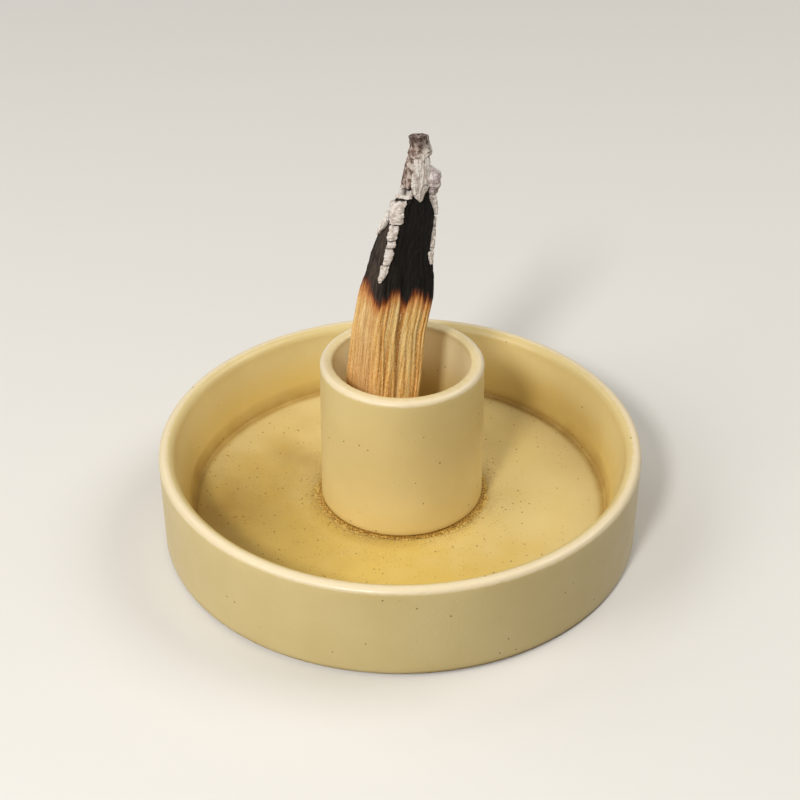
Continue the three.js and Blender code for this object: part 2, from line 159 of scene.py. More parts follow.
# place round the stick at the burn line, how far it moves towards the foot, depth, half width
GROOVES = (
    (1.09, 0.0, 0.3, 0.03), (1.17, 0.0, 0.3, 0.025), (1.4, 0.03, 0.55, 0.05), (1.47, 0.0, 0.2, 0.03),
    (1.81, 0.02, 0.3, 0.025), (1.72, 0.02, 0.15, 0.02), (1.6, 0.01, 0.12, 0.02), (0.45, 0.0, 0.08, 0.06),
    (0.72, 0.02, 0.08, 0.03), (0.87, 0.01, 0.1, 0.02),
    (2.5, 0.0, 0.4, 0.1), (3.3, 0.0, 0.5, 0.08), (3.7, 0.0, 0.35, 0.07), (4.5, 0.0, 0.4, 0.1),
)
RIDGES = (
    (1.0, 0.0, 0.1, 0.03), (0.93, 0.0, 0.1, 0.02), (1.13, 0.0, 0.2, 0.015), (1.26, 0.0, 0.14, 0.03),
    (1.34, 0.02, 0.16, 0.025), (1.68, -0.21, 0.13, 0.018), (1.76, 0.01, 0.14, 0.015),
    (1.87, 0.0, 0.14, 0.02), (1.95, 0.0, 0.14, 0.02), (0.06, 0.0, 0.08, 0.04),
)
BURN_LINE_RISE = 2.7
BURN_LINE = np.array([
    (0, 1), (0.35, 0.82), (0.9, -0.3), (1.1, 0.33), (1.3, 0.74), (1.5, 0.07), (1.62, 0.56), (1.75, 0.3),
    (1.88, -0.11), (2, -0.78), (2.5, -0.33), (3, 0.22), (3.5, -0.56), (4, 0.52), (4.5, 0.15), (5, 1),
])
STICK_AROUND = 360
STICK_STEP = 0.2  # from ring to ring
TIP_AROUND = 150

# Ash
CLEARANCE = 0.3
ASH_EDGE = 0.3
ASH_THICKNESS = 0.5
ASH_STEP = 0.09  # from point to point of a flake
ASH_TIP_FOOT = 0.945
ASH_TIP_CROWN = 1.6
ASH_SUNK = 0.25  # how far a flake's inner side reaches into the char
# places up the shoulder and across it, and the share of its thickness there
SHOULDER_UP = ((0, 0.15, 0.35, 0.55, 0.75, 0.9, 1), (0.5, 0.72, 0.92, 1, 0.86, 0.5, 0.15))
SHOULDER_ACROSS = ((0, 0.2, 0.4, 0.65, 0.85, 1), (0.3, 0.65, 0.9, 1, 0.85, 0.3))
# name, tone, thickness, lift of the lower end, growth over the left and right borders, and rows from
# border to border: share of the char's length, place round the stick, share if it is another, place
ASH_FLAKES = (
    ("ash_strip_1", "white", 1.0, 0.05, (0, 0),
     ((0.514, 0.85, 0.52, 1.19), (0.528, 0.81, 0.536, 1.19), (0.567, 0.52, 0.592, 1.17),
      (0.578, 0.1, 0.63, 1.13), (0.588, -0.2, 0.645, 1.1), (0.6, -0.4, 0.664, 1))),
    ("ash_strip_2", "white", 1.0, 0.15, (0, 0),
     ((0.407, 0.88, 1.14), (0.45, 0.85, 1.13), (0.503, 0.84, 1.14))),
    ("ash_strip_3", "white", 0.95, 0.05, (0, 0),
     ((0.355, 0.92, 1.14), (0.396, 0.89, 1.14))),
    ("ash_strip_4", "white", 0.95, 0.15, (0, 0),
     ((0.238, 0.93, 1.1), (0.275, 0.92, 1.12), (0.31, 0.91, 1.14),
      (0.343, 0.9, 1.1))),
    ("ash_strip_5", "white", 0.85, 0.05, (0, 0),
     ((0.106, 0.89, 0.95), (0.125, 0.86, 0.98), (0.165, 0.85, 1.06),
      (0.226, 0.86, 1.08))),
    ("ash_curl_left", "white", 0.9, 0.5, (0, 0),
     ((0.408, 0.19, 0.25), (0.425, 0.17, 0.43, 0.32), (0.45, 0.17, 0.455, 0.4),
      (0.478, 0.17, 0.483, 0.46), (0.505, 0.15, 0.515, 0.46), (0.53, 0.1, 0.538, 0.44),
      (0.552, 0.06, 0.558, 0.38))),
    ("ash_ring_left", "white", 0.95, 0.0, (0, 0.15),
     ((0.63, -0.4, 0.684, 1.2), (0.655, -0.4, 0.705, 1.12), (0.688, -0.4, 0.735, 1.03))),
    ("ash_column_left", "brown", 0.95, 0.0, (0, 0.3),
     ((0.7, -0.4, 0.747, 0.99), (0.73, -0.4, 0.77, 0.95), (0.8, -0.4, 0.82, 0.92),
      (0.934, -0.4, 0.92))),
    ("ash_face", "white", 1.3, 0.1, (0.15, 0.3),
     ((0.652, 1.5, 0.65, 1.6), (0.675, 1.32, 0.666, 1.64), (0.702, 1.22, 0.689, 1.68),
      (0.731, 1.12, 0.713, 1.74), (0.754, 1.07, 0.734, 1.82), (0.78, 1.02, 0.756, 1.86),
      (0.83, 1.02, 0.8, 1.88), (0.87, 1.02, 0.85, 1.92), (0.94, 1.02, 1.95),
      (0.98, 1.1, 0.975, 1.9))),
    ("ash_shoulder_right", "lilac", 4.8, 0.0, (0.4, 0),
     ((0.668, 2.12, 2.3), (0.69, 2, 2.48), (0.72, 1.97, 0.715, 2.55),
      (0.76, 1.96, 0.75, 2.58), (0.8, 1.97, 0.79, 2.56), (0.83, 2, 0.825, 2.5),
      (0.86, 2.08, 2.3))),
    ("ash_tail_right", "white", 2.4, 0.0, (0, 0),
     ((0.53, 2.12, 2.16), (0.575, 2.1, 2.2), (0.6, 2.08, 2.24),
      (0.63, 2.08, 2.3), (0.672, 2.1, 2.4))),
    ("ash_edge_right_1", "white", 0.7, 0.0, (0, 0),
     ((0.3, 1.97, 2.1), (0.37, 2.03, 2.13), (0.41, 2.06, 2.16),
      (0.446, 2.1, 2.2), (0.48, 2.14, 2.24), (0.513, 2.2, 2.27))),
    ("ash_edge_right_2", "white", 0.6, 0.0, (0, 0),
     ((0.2, 1.94, 2), (0.225, 1.92, 2.03), (0.25, 1.92, 2.06),
      (0.288, 1.93, 2.08))),
    ("ash_back", "brown", 1.0, 0.1, (0, 0),
     ((0.68, 3.1, 3.6), (0.72, 2.85, 4.3), (0.8, 2.8, 4.4), (0.93, 2.8, 4.4))),
    ("ash_strip_back_1", "white", 0.95, 0.1, (0, 0),
     ((0.43, 3.4, 3.86), (0.5, 3.3, 3.9), (0.62, 3.25, 3.8))),
    ("ash_strip_back_2", "white", 0.85, 0.1, (0, 0),
     ((0.19, 3.5, 3.6), (0.29, 3.42, 3.8), (0.415, 3.4, 3.84))),
)

SEED = 20


# Noise

def lattice(x, y, z, seed):
    """A random number from 0 to 1 for each whole-number place."""
    mixed = x * np.uint32(374761393) + y * np.uint32(668265263) + z * np.uint32(1440662683)
    mixed = mixed + np.uint32(seed * 2654435761 & 0xFFFFFFFF)
    for shift, factor in ((15, 2246822519), (13, 3266489917)):
        mixed = (mixed ^ (mixed >> np.uint32(shift))) * np.uint32(factor)
    return (mixed ^ (mixed >> np.uint32(16))) / 4294967295.0


def cells(points, size):
    """The whole-number cell that each point is in, and its place in that cell."""
    places = np.asarray(points, float) / np.asarray(size, float)
    low = np.floor(places)
    return low.astype(np.int64), places - low


def noise(points, size, seed):
    """Smooth noise from -1 to 1, with bumps of that size."""
    low, share = cells(points, size)
    share = share * share * (3 - 2 * share)
    total = 0
    for corner in itertools.product((0, 1), repeat=3):
        weight = np.prod(np.where(corner, share, 1 - share), axis=-1)
        x, y, z = np.moveaxis((low + corner).astype(np.uint32), -1, 0)
        total = total + weight * lattice(x, y, z, SEED + seed)
    return 2 * total - 1


def rough(points, size, seed, octaves=3):
    """Noise of that size with finer noise added, from -1 to 1."""
    layers = range(octaves)
    total = sum(noise(points, np.asarray(size, float) / 2 ** n, seed + n) / 2 ** n for n in layers)
    return total / sum(1 / 2 ** n for n in layers)


def cracks(points, size, seed):
    """How far each point is from the border between two cells of a random pattern, from 0 up."""
    low, share = cells(points, size)
    nearest = np.full(low.shape[:-1], 9.0)
    second = nearest.copy()
    for offset in itertools.product((-1, 0, 1), repeat=3):
        x, y, z = np.moveaxis((low + offset).astype(np.uint32), -1, 0)
        middle = np.stack([lattice(x, y, z, SEED + seed + n) for n in range(3)], axis=-1)
        distance = length(middle + offset - share)
        second = np.minimum(second, np.maximum(nearest, distance))
        nearest = np.minimum(nearest, distance)
    return second - nearest


def smooth(value, low, high):
    """0 below low, 1 above high and a smooth rise between them."""
    share = np.clip((np.asarray(value, float) - low) / (high - low), 0, 1)
    return share * share * (3 - 2 * share)


def length(vectors):
    return np.linalg.norm(vectors, axis=-1)


def hump(value, middle, half_width):
    return np.exp(-((np.asarray(value, float) - middle) / half_width) ** 2)


# Meshes

def add_piece(name, points, quads, triangles, finish, body, slot, replaces=(), sharp=None, **fields):
    """A piece of the object, from points in millimetres and faces; fields become mesh attributes."""
    mesh = bpy.data.meshes.new(name)
    quads = np.asarray(quads, np.int32).reshape(-1, 4)
    triangles = np.asarray(triangles, np.int32).reshape(-1, 3)
    corners = np.concatenate([quads.ravel(), triangles.ravel()])
    starts = np.concatenate([
        np.arange(len(quads)) * 4,
        quads.size + np.arange(len(triangles)) * 3,
    ])
    mesh.vertices.add(len(points))
    mesh.vertices.foreach_set("co", (np.asarray(points) * MM).astype(np.float32).ravel())
    mesh.loops.add(len(corners))
    mesh.loops.foreach_set("vertex_index", corners)
    mesh.polygons.add(len(starts))
    mesh.polygons.foreach_set("loop_start", starts.astype(np.int32))
    mesh.update(calc_edges=True)
    mesh.validate()
    mesh.polygons.foreach_set("use_smooth", np.ones(len(mesh.polygons), bool))
    if sharp is not None:
        mesh.set_sharp_from_angle(angle=math.radians(sharp))
    for field, values in fields.items():
        values = np.asarray(values, np.float32)
        kind, key = ("FLOAT_VECTOR", "vector") if values.ndim > 1 else ("FLOAT", "value")
        mesh.attributes.new(field, kind, "POINT").data.foreach_set(key, values.ravel())
    mesh.materials.append(finish)
    piece = bpy.data.objects.new(name, mesh)
    bpy.context.scene.collection.objects.link(piece)
    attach(piece, body)
    if replaces:
        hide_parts(*replaces)
    return piece


def loft_faces(rings, around):
    """Faces of a closed body through rings of points, with a fan over each end."""
    first = np.arange(around)
    after = (first + 1) % around
    quads = []
    for start in range(0, (rings - 1) * around, around):
        up = start + around
        quads.append(np.stack([start + first, start + after, up + after, up + first], axis=1))
    foot = np.full(around, rings * around)
    last = (rings - 1) * around
    triangles = [
        np.stack([foot, after, first], axis=1),
        np.stack([foot + 1, last + first, last + after], axis=1),
    ]
    return np.concatenate(quads), np.concatenate(triangles)


def loft_points(rings):
    """The rings' points in one row, then the middle of the first ring and of the last."""
    rings = np.asarray(rings)
    ends = np.stack([rings[0].mean(axis=0), rings[-1].mean(axis=0)])
    return np.concatenate([rings.reshape(-1, rings.shape[-1]), ends])


def add_loft(name, rings, finish, body, slot, replaces=(), sharp=None, **fields):
    quads, triangles = loft_faces(len(rings), len(rings[0]))
    values = {}
    for field, rows in fields.items():
        rows = np.asarray(rows, float)
        flat = loft_points(rows if rows.ndim > 2 else rows[..., None])
        values[field] = flat if rows.ndim > 2 else flat[:, 0]
    points = loft_points(rings)
    return add_piece(name, points, quads, triangles, finish, body, slot, replaces, sharp, **values)


def slab_faces(rows, columns):
    """Faces of a closed slab with an outer and an inner layer of points."""
    index = np.arange(rows * columns).reshape(rows, columns)
    inner = index + rows * columns
    a, b, c, d = index[:-1, :-1], index[:-1, 1:], index[1:, 1:], index[1:, :-1]
    faces = [np.stack([a, b, c, d], axis=-1)]
    faces.append(np.stack([a, d, c, b], axis=-1) + rows * columns)
    faces.append(np.stack([index[:-1, 0], index[1:, 0], inner[1:, 0], inner[:-1, 0]], axis=-1))
    faces.append(np.stack([index[:-1, -1], inner[:-1, -1], inner[1:, -1], index[1:, -1]], axis=-1))
    faces.append(np.stack([index[0, :-1], inner[0, :-1], inner[0, 1:], index[0, 1:]], axis=-1))
    faces.append(np.stack([index[-1, :-1], index[-1, 1:], inner[-1, 1:], inner[-1, :-1]], axis=-1))
    return np.concatenate([face.reshape(-1, 4) for face in faces])


# Materials

def srgb(red, green, blue):
    """A colour as a picture shows it, from 0 to 255, as the linear colour that a shader takes."""
    shares = (channel / 255 for channel in (red, green, blue))
    linear = [s / 12.92 if s <= 0.04045 else ((s + 0.055) / 1.055) ** 2.4 for s in shares]
    return (*linear, 1.0)


class Nodes:
    """A node tree, with short calls for the nodes that the finishes below are made of."""

    def __init__(self, owner):
        owner.use_nodes = True
        self.tree = owner.node_tree

    def node(self, kind, inputs=None, **settings):
        node = self.tree.nodes.new(kind)
        for key, value in settings.items():
            setattr(node, key, value)
        for key, value in (inputs or {}).items():
            self.feed(node.inputs[key], value)
        return node

    def feed(self, socket, value):
        if isinstance(value, bpy.types.NodeSocket):
            self.tree.links.new(value, socket)
        else:
            socket.default_value = value

    def maths(self, operation, a, b, c=0.0, clamp=False):
        inputs = {0: a, 1: b, 2: c}
        return self.node("ShaderNodeMath", inputs, operation=operation, use_clamp=clamp).outputs[0]

    def plus(self, a, b):
        return self.maths("ADD", a, b)

    def times(self, a, b, clamp=False):
        return self.maths("MULTIPLY", a, b, clamp=clamp)

    def line(self, value, factor, start, clamp=False):
        """The value times factor, plus start."""
        return self.maths("MULTIPLY_ADD", value, factor, start, clamp)

    def field(self, name):
        """A float attribute of the mesh."""
        return self.node("ShaderNodeAttribute", attribute_name=name).outputs["Fac"]

    def vector_field(self, name):
        return self.node("ShaderNodeAttribute", attribute_name=name).outputs["Vector"]

    def place(self):
        """The place on the object, in millimetres."""
        place = self.node("ShaderNodeTexCoord").outputs["Object"]
        return self.scaled(place, (1 / MM, 1 / MM, 1 / MM))

    def scaled(self, vector, factors):
        inputs = {0: vector, 1: factors}
        return self.node("ShaderNodeVectorMath", inputs, operation="MULTIPLY").outputs["Vector"]

    def noise(self, vector, size, detail=2.0, distortion=0.0):
        """Noise from 0 to 1 with bumps of that size; size is one number or one for each axis."""
        if not isinstance(size, (int, float)):
            vector = self.scaled(vector, tuple(1 / s for s in size))
            size = 1
        inputs = {"Vector": vector, "Scale": 1 / size, "Detail": detail, "Distortion": distortion}
        return self.node("ShaderNodeTexNoise", inputs).outputs["Fac"]

    def ramp(self, value, *stops):
        """A colour for each value, with stops of place, red, green, blue, or a grey of place, share."""
        node = self.node("ShaderNodeValToRGB", {"Fac": value})
        elements = node.color_ramp.elements
        for _ in stops[2:]:
            elements.new(0.5)
        for element, (place, *tone) in zip(elements, stops):
            element.position = place
            element.color = srgb(*tone) if len(tone) == 3 else (*tone * 3, 1.0)
        return node.outputs["Color"]

    def rise(self, value, low, high):
        """0 where value is low, 1 where it is high, with a smooth rise between."""
        inputs = {"Value": value, "From Min": low, "From Max": high}
        return self.node("ShaderNodeMapRange", inputs, interpolation_type="SMOOTHSTEP").outputs["Result"]

    def mix(self, share, a, b):
        inputs = {"Factor": share, 6: a, 7: b}
        return self.node("ShaderNodeMix", inputs, data_type="RGBA").outputs[2]

    def tint(self, colour, tone, share, strength=None):
        """The colour with a tone from 0 to 255 over it, as far as share times strength says."""
        if strength is not None:
            share = self.times(share, strength)
        return self.mix(share, colour, srgb(*tone))

    def seen_by(self, *kinds):
        """1 for the camera's own rays and for rays of the named kinds."""
        rays = self.node("ShaderNodeLightPath").outputs
        seen = rays["Is Camera Ray"]
        for kind in kinds:
            seen = self.maths("MAXIMUM", seen, rays[f"Is {kind} Ray"])
        return seen

    def specks(self, vector, size, share, radius, softness):
        """1 inside scattered specks: one in each cell of that size for that share of the cells."""
        inputs = {"Vector": vector, "Scale": 1 / size, "Randomness": 1.0}
        node = self.node("ShaderNodeTexVoronoi", inputs)
        draw = self.node("ShaderNodeSeparateColor", {"Color": node.outputs["Color"]}).outputs["Red"]
        least = self.maths("SUBTRACT", 1.0, share)
        reach = self.times(self.maths("SUBTRACT", draw, least), radius * 10)
        reach = self.maths("MINIMUM", reach, radius)
        inside = self.maths("SUBTRACT", reach, node.outputs["Distance"])
        return self.rise(inside, 0.0, softness)


class Finish(Nodes):
    """A node material round one shader."""

    def __init__(self, name, roughness):
        self.material = bpy.data.materials.new(name)
        super().__init__(self.material)
        self.shader = self.tree.nodes["Principled BSDF"]
        self.shader.inputs["Roughness"].default_value = roughness

    def bump(self, height, distance):
        """Relief, where height from 0 to 1 stands for that many millimetres."""
        inputs = {"Height": height, "Distance": distance * MM, "Strength": 1.0}
        normal = self.node("ShaderNodeBump", inputs).outputs["Normal"]
        self.feed(self.shader.inputs["Normal"], normal)

    def done(self, colour, roughness=None):
        self.feed(self.shader.inputs["Base Color"], colour)
        if roughness is not None:
            self.feed(self.shader.inputs["Roughness"], roughness)
        return self.material


def glaze():
    """A satin straw glaze: lightly clouded, with fine specks; deeper inside, partly painted shade; paler
    along the rims, thin glaze with a painted highlight; pale in the cup's mouth, painted light; brown
    pools with painted shade in the folds.
    """
    mat = Finish("glaze_straw", 0.34)
    place = mat.place()
    clouds = mat.noise(place, 18, 3)
    colour = mat.ramp(clouds, (0.34, 220, 198, 137), (0.66, 227, 207, 148))
    # Deeper tone: the floor glaze's own colour, with painted shade on the lower inner wall and far down
    # inside the cup.
    deep = mat.line(mat.noise(place, 5, 3), 0.6, 0.7)
    deep = mat.times(deep, mat.field("deep"), clamp=True)
    colour = mat.tint(colour, (216, 185, 98), deep)
    # Pale inside the cup's mouth: painted light.
    colour = mat.tint(colour, (248, 233, 186), mat.field("pale"))
    # Brown where the glaze pools, with painted shade in the folds, along the wall's foot, on the lower
    # back wall and on the left floor.
    colour = mat.tint(colour, (162, 122, 48), mat.field("pool"), 0.7)
    # Paler on the rims where the glaze runs thin, with a painted highlight there.
    ragged = mat.line(mat.noise(place, 1.1, 3), 0.6, -0.3)
    thin = mat.rise(mat.plus(mat.field("edge"), ragged), 0.3, 1.0)
    colour = mat.tint(colour, (240, 224, 192), thin, 0.8)
    grit = mat.line(mat.noise(place, 0.5, 3), 1.6, -0.15, clamp=True)
    stain = mat.times(mat.field("stain"), grit)
    colour = mat.tint(colour, (150, 113, 46), stain)
    grains = mat.field("grains")
    fine = mat.specks(place, 0.8, mat.line(grains, 0.6, 0.02), 0.19, 0.06)
    broad = mat.specks(place, 1.6, mat.line(grains, 0.7, 0.14), 0.14, 0.04)
    colour = mat.tint(colour, (156, 96, 10), fine, 0.6)
    colour = mat.tint(colour, (118, 64, 0), broad, 0.75)
    waves = mat.noise(place, 0.8, 4)
    pits = mat.plus(mat.times(broad, 0.3), mat.times(stain, 0.8))
    mat.bump(mat.maths("SUBTRACT", waves, pits), 0.06)
    sheen = mat.ramp(mat.noise(place, 5, 3), (0.3, 0.3), (0.7, 0.4))
    sheen = mat.mix(mat.field("pool"), sheen, (0.75, 0.75, 0.75, 1.0))
    return mat.done(colour, sheen)


def slip():
    """Rough clay under a thin glaze, brown and grainy."""
    mat = Finish("slip_brown", 0.7)
    place = mat.place()
    grain = mat.noise(place, 0.3, 4)
    colour = mat.ramp(grain, (0.36, 158, 122, 40), (0.48, 204, 170, 84), (0.62, 226, 196, 114))
    brown = mat.ramp(grain, (0.36, 114, 78, 12), (0.5, 166, 124, 38), (0.62, 214, 176, 90))
    colour = mat.mix(mat.field("brown"), colour, brown)
    mat.bump(grain, 0.12)
    return mat.done(colour)


def burnt(mat, colour):
    """The colour with the scorched edge over it, from the height above the burn line."""
    grain = mat.vector_field("grain")
    streaks = mat.noise(grain, (0.3, 0.3, 9.0), 3)
    tongues = mat.noise(grain, (1.6, 1.6, 9.0), 2)
    above = mat.line(streaks, 3.6, -1.8)
    above = mat.plus(above, mat.line(tongues, 3.6, -1.8))
    above = mat.plus(above, mat.field("burn"))
    above = mat.plus(above, mat.times(mat.field("sunk"), 2.2))
    toasted = mat.rise(above, -5.5, -2.0)
    colour = mat.tint(colour, (196, 108, 38), toasted, 0.65)
    colour = mat.tint(colour, (110, 46, 14), mat.rise(above, -3.0, -0.8))
    black = mat.rise(above, -1.6, 0.2)
    return mat.mix(black, colour, charred(mat)), black


def charred(mat):
    """Near-black charcoal, with grey dust on the fibres of its left face."""
    grain = mat.vector_field("grain")
    fibres = mat.noise(grain, (0.3, 0.3, 4.0), 3)
    dust = mat.noise(grain, (1.6, 1.6, 4.0), 4)
    colour = mat.ramp(fibres, (0.35, 10, 9, 7), (0.72, 26, 22, 17))
    colour = mat.tint(colour, (54, 46, 40), mat.rise(dust, 0.6, 0.85), 0.6)
    dusty = mat.times(mat.field("left"), mat.rise(fibres, 0.25, 0.7))
    return mat.tint(colour, (98, 84, 74), dusty, 0.7)


def wood():
    """Split wood: long bands and fibres, pores with painted glints, grooves in painted orange-brown
    shade, ridges with a painted highlight, a left face paler partly from painted light, and a scorched
    top.
    """
    mat = Finish("wood_palo_santo", 0.6)
    mat.shader.inputs["Specular IOR Level"].default_value = 0.35
    grain = mat.vector_field("grain")
    bands = mat.noise(grain, (0.9, 0.9, 50.0), 2, 0.2)
    fibres = mat.noise(grain, (0.2, 0.2, 9.0), 4, 0.2)
    blend = mat.line(bands, 0.6, mat.times(fibres, 0.4))
    colour = mat.ramp(blend, (0.39, 182, 118, 47), (0.46, 231, 171, 87),
                         (0.53, 250, 202, 120), (0.61, 255, 227, 160))
    # The left face turns paler tan: partly its smoother split face, partly painted light from the left.
    left = mat.times(mat.field("left"), 0.7)
    tan = mat.ramp(fibres, (0.38, 200, 156, 98), (0.62, 240, 208, 154))
    colour = mat.mix(left, colour, tan)
    reddish = mat.times(mat.field("low_left"), mat.rise(bands, 0.3, 0.6))
    colour = mat.tint(colour, (196, 122, 62), reddish, 0.45)
    # Painted shade: grooves and splits turn darker orange-brown.
    colour = mat.tint(colour, (142, 84, 28), mat.field("sunk"), 0.8)
    # Painted highlight: the ridges' crests turn pale gold.
    colour = mat.tint(colour, (252, 216, 140), mat.field("crest"), 0.5)
    vessels = mat.noise(grain, (0.15, 0.15, 0.55), 2)
    bare = mat.line(mat.field("left"), -0.45, 0.8)
    # Painted glints: the pores' brightest dots turn pale gold, less on the left face.
    painted_glints = mat.times(mat.rise(vessels, 0.57, 0.66), bare)
    colour = mat.tint(colour, (254, 232, 184), painted_glints)
    dark = mat.times(mat.rise(vessels, 0.42, 0.32), bare)
    colour = mat.tint(colour, (150, 98, 44), dark, 0.65)
    colour, black = burnt(mat, colour)
    mat.bump(mat.line(vessels, 0.7, fibres), 0.12)
    sheen = mat.ramp(vessels, (0.35, 0.62), (0.68, 0.42))
    return mat.done(colour, mat.mix(black, sheen, (0.8, 0.8, 0.8, 1.0)))


def char():
    mat = Finish("char_black", 0.75)
    mat.shader.inputs["Specular IOR Level"].default_value = 0.25
    grain = mat.vector_field("grain")
    colour = burnt(mat, charred(mat))[0]
    fibres = mat.noise(grain, (0.28, 0.28, 2.4), 4)
    mat.bump(fibres, 0.07)
    return mat.done(colour, mat.ramp(fibres, (0.3, 0.9), (0.72, 0.7)))


def ash(name, dark, middle, pale, crack, blotch, ridge=(0.25, 0.25, 1.4)):
    """Soft, crumbly ash: blotched, with fine ridges whose hollows hold painted shade, pits, a few dark
    cracks, and painted shade under the flakes.
    """
    mat = Finish(name, 0.95)
    place = mat.place()
    blotches = mat.noise(place, blotch, 5)
    colour = mat.ramp(blotches, (0.36, *dark), (0.46, *middle), (0.57, *pale))
    ridges = mat.noise(place, ridge, 3)
    # The ridges' hollows turn darker: partly the ash's own tone, partly painted shade.
    colour = mat.tint(colour, dark, mat.rise(ridges, 0.5, 0.36), 0.75)
    colour = mat.tint(colour, (232, 223, 214), mat.field("whitened"))
    pits = mat.noise(place, 0.24, 2)
    colour = mat.tint(colour, crack, mat.rise(pits, 0.36, 0.26), 0.45)
    colour = mat.tint(colour, crack, mat.field("cracked"))
    mat.bump(mat.line(ridges, 0.7, pits), 0.2)
    return mat.done(colour)


GLAZE = glaze()
SLIP = slip()
WOOD = wood()
CHAR = char()
ASH = {
    "white": ash("ash_pale", (196, 183, 172), (230, 219, 210), (248, 242, 236),
                 (66, 57, 51), (0.5, 0.5, 2.4), (0.16, 0.16, 2.4)),
    "strip": ash("ash_pale_strip", (192, 180, 170), (224, 213, 204), (244, 237, 230),
                 (84, 74, 68), 1.0, (1.2, 1.2, 0.28)),
    "brown": ash("ash_brown_grey", (80, 60, 48), (130, 104, 92), (198, 180, 170),
                 (46, 36, 30), 0.9),
    "lilac": ash("ash_lilac", (176, 160, 160), (206, 191, 192), (236, 227, 225),
                 (104, 90, 92), 1.0),
}


# Ceramic

def arc(r, z, radius, start, stop, steps=6):
    """Points on a round stretch of an outline, from one angle in degrees to another."""
    angles = np.radians(np.linspace(start, stop, steps + 1))
    return [(r + radius * math.cos(a), z + radius * math.sin(a)) for a in angles]


def along(start, stop, steps):
    """Points from start to stop, without start itself and stop itself."""
    shares = np.arange(1, steps) / steps
    return [tuple(np.array(start) * (1 - s) + np.array(stop) * s) for s in shares]


def turned(outline, centre, around):
    """Rings of points round an upright axis, one for each point of the outline that is off the axis."""
    angles = np.arange(around) * 2 * math.pi / around
    outline = np.asarray(outline)
    x = centre[0] + outline[:, :1] * np.cos(angles)
    y = centre[1] + outline[:, :1] * np.sin(angles)
    z = np.broadcast_to(outline[:, 1:], x.shape)
    return np.stack([x, y, z], axis=-1)


def hand_made(rings, centre, seed):
    """The rings with the slight unevenness of thrown clay; flat feet stay flat."""
    rings = rings.copy()
    away = rings[..., :2] - centre
    radius = length(away)
    push = HAND_MADE * (rough(rings, 30, seed) - 1) * smooth(radius, 5, 14)
    rings[..., :2] += away / np.maximum(radius, 0.01)[..., None] * push[..., None]
    lift = smooth(rings[..., 2], rings[..., 2].min() + 1, rings[..., 2].min() + 4)
    rings[..., 2] += lift * HAND_MADE * (rough(rings, 22, seed + 5) - 1)
    return rings


def dish_outline():
    foot = DISH_RADIUS - DISH_FOOT_DRAFT
    ring_inner = foot - DISH_FOOT_ROUNDING - FOOT_RING_WIDTH
    recess = DISH_FLOOR_TOP - DISH_FLOOR_THICKNESS
    middle = (AXIS_RING, recess)
    recess_edge = (ring_inner - FOOT_RING_CHAMFER, recess)
    outside = arc(foot - DISH_FOOT_ROUNDING, DISH_FOOT_ROUNDING, DISH_FOOT_ROUNDING, -90, 0)
    outer = DISH_RIM_ROUNDING
    outside_top = arc(DISH_RADIUS - outer, DISH_HEIGHT - outer, outer, 0, 90)
    inner = DISH_RIM_ROUNDING_INSIDE
    inside_top = arc(DISH_RADIUS - DISH_RIM_WIDTH + inner, DISH_HEIGHT - inner, inner, 90, 180, 8)
    cove = DISH_COVE_RADIUS
    inside_foot = arc(DISH_FLOOR_EDGE, DISH_FLOOR_TOP + cove, cove, 0, -90, 8)
    floor = []
    start = DISH_FLOOR_EDGE
    for stop, count in DISH_FLOOR_RINGS:
        floor += [(r, DISH_FLOOR_TOP) for r in np.linspace(start, stop, count)[1:]]
        start = stop
    return [
        middle,
        *along(middle, recess_edge, 8),
        recess_edge,
        (ring_inner, 0),
        *outside,
        *along(outside[-1], outside_top[0], 18),
        *outside_top,
        *inside_top[1:],
        *along(inside_top[-1], inside_foot[0], 12),
        *inside_foot,
        *floor,
    ]


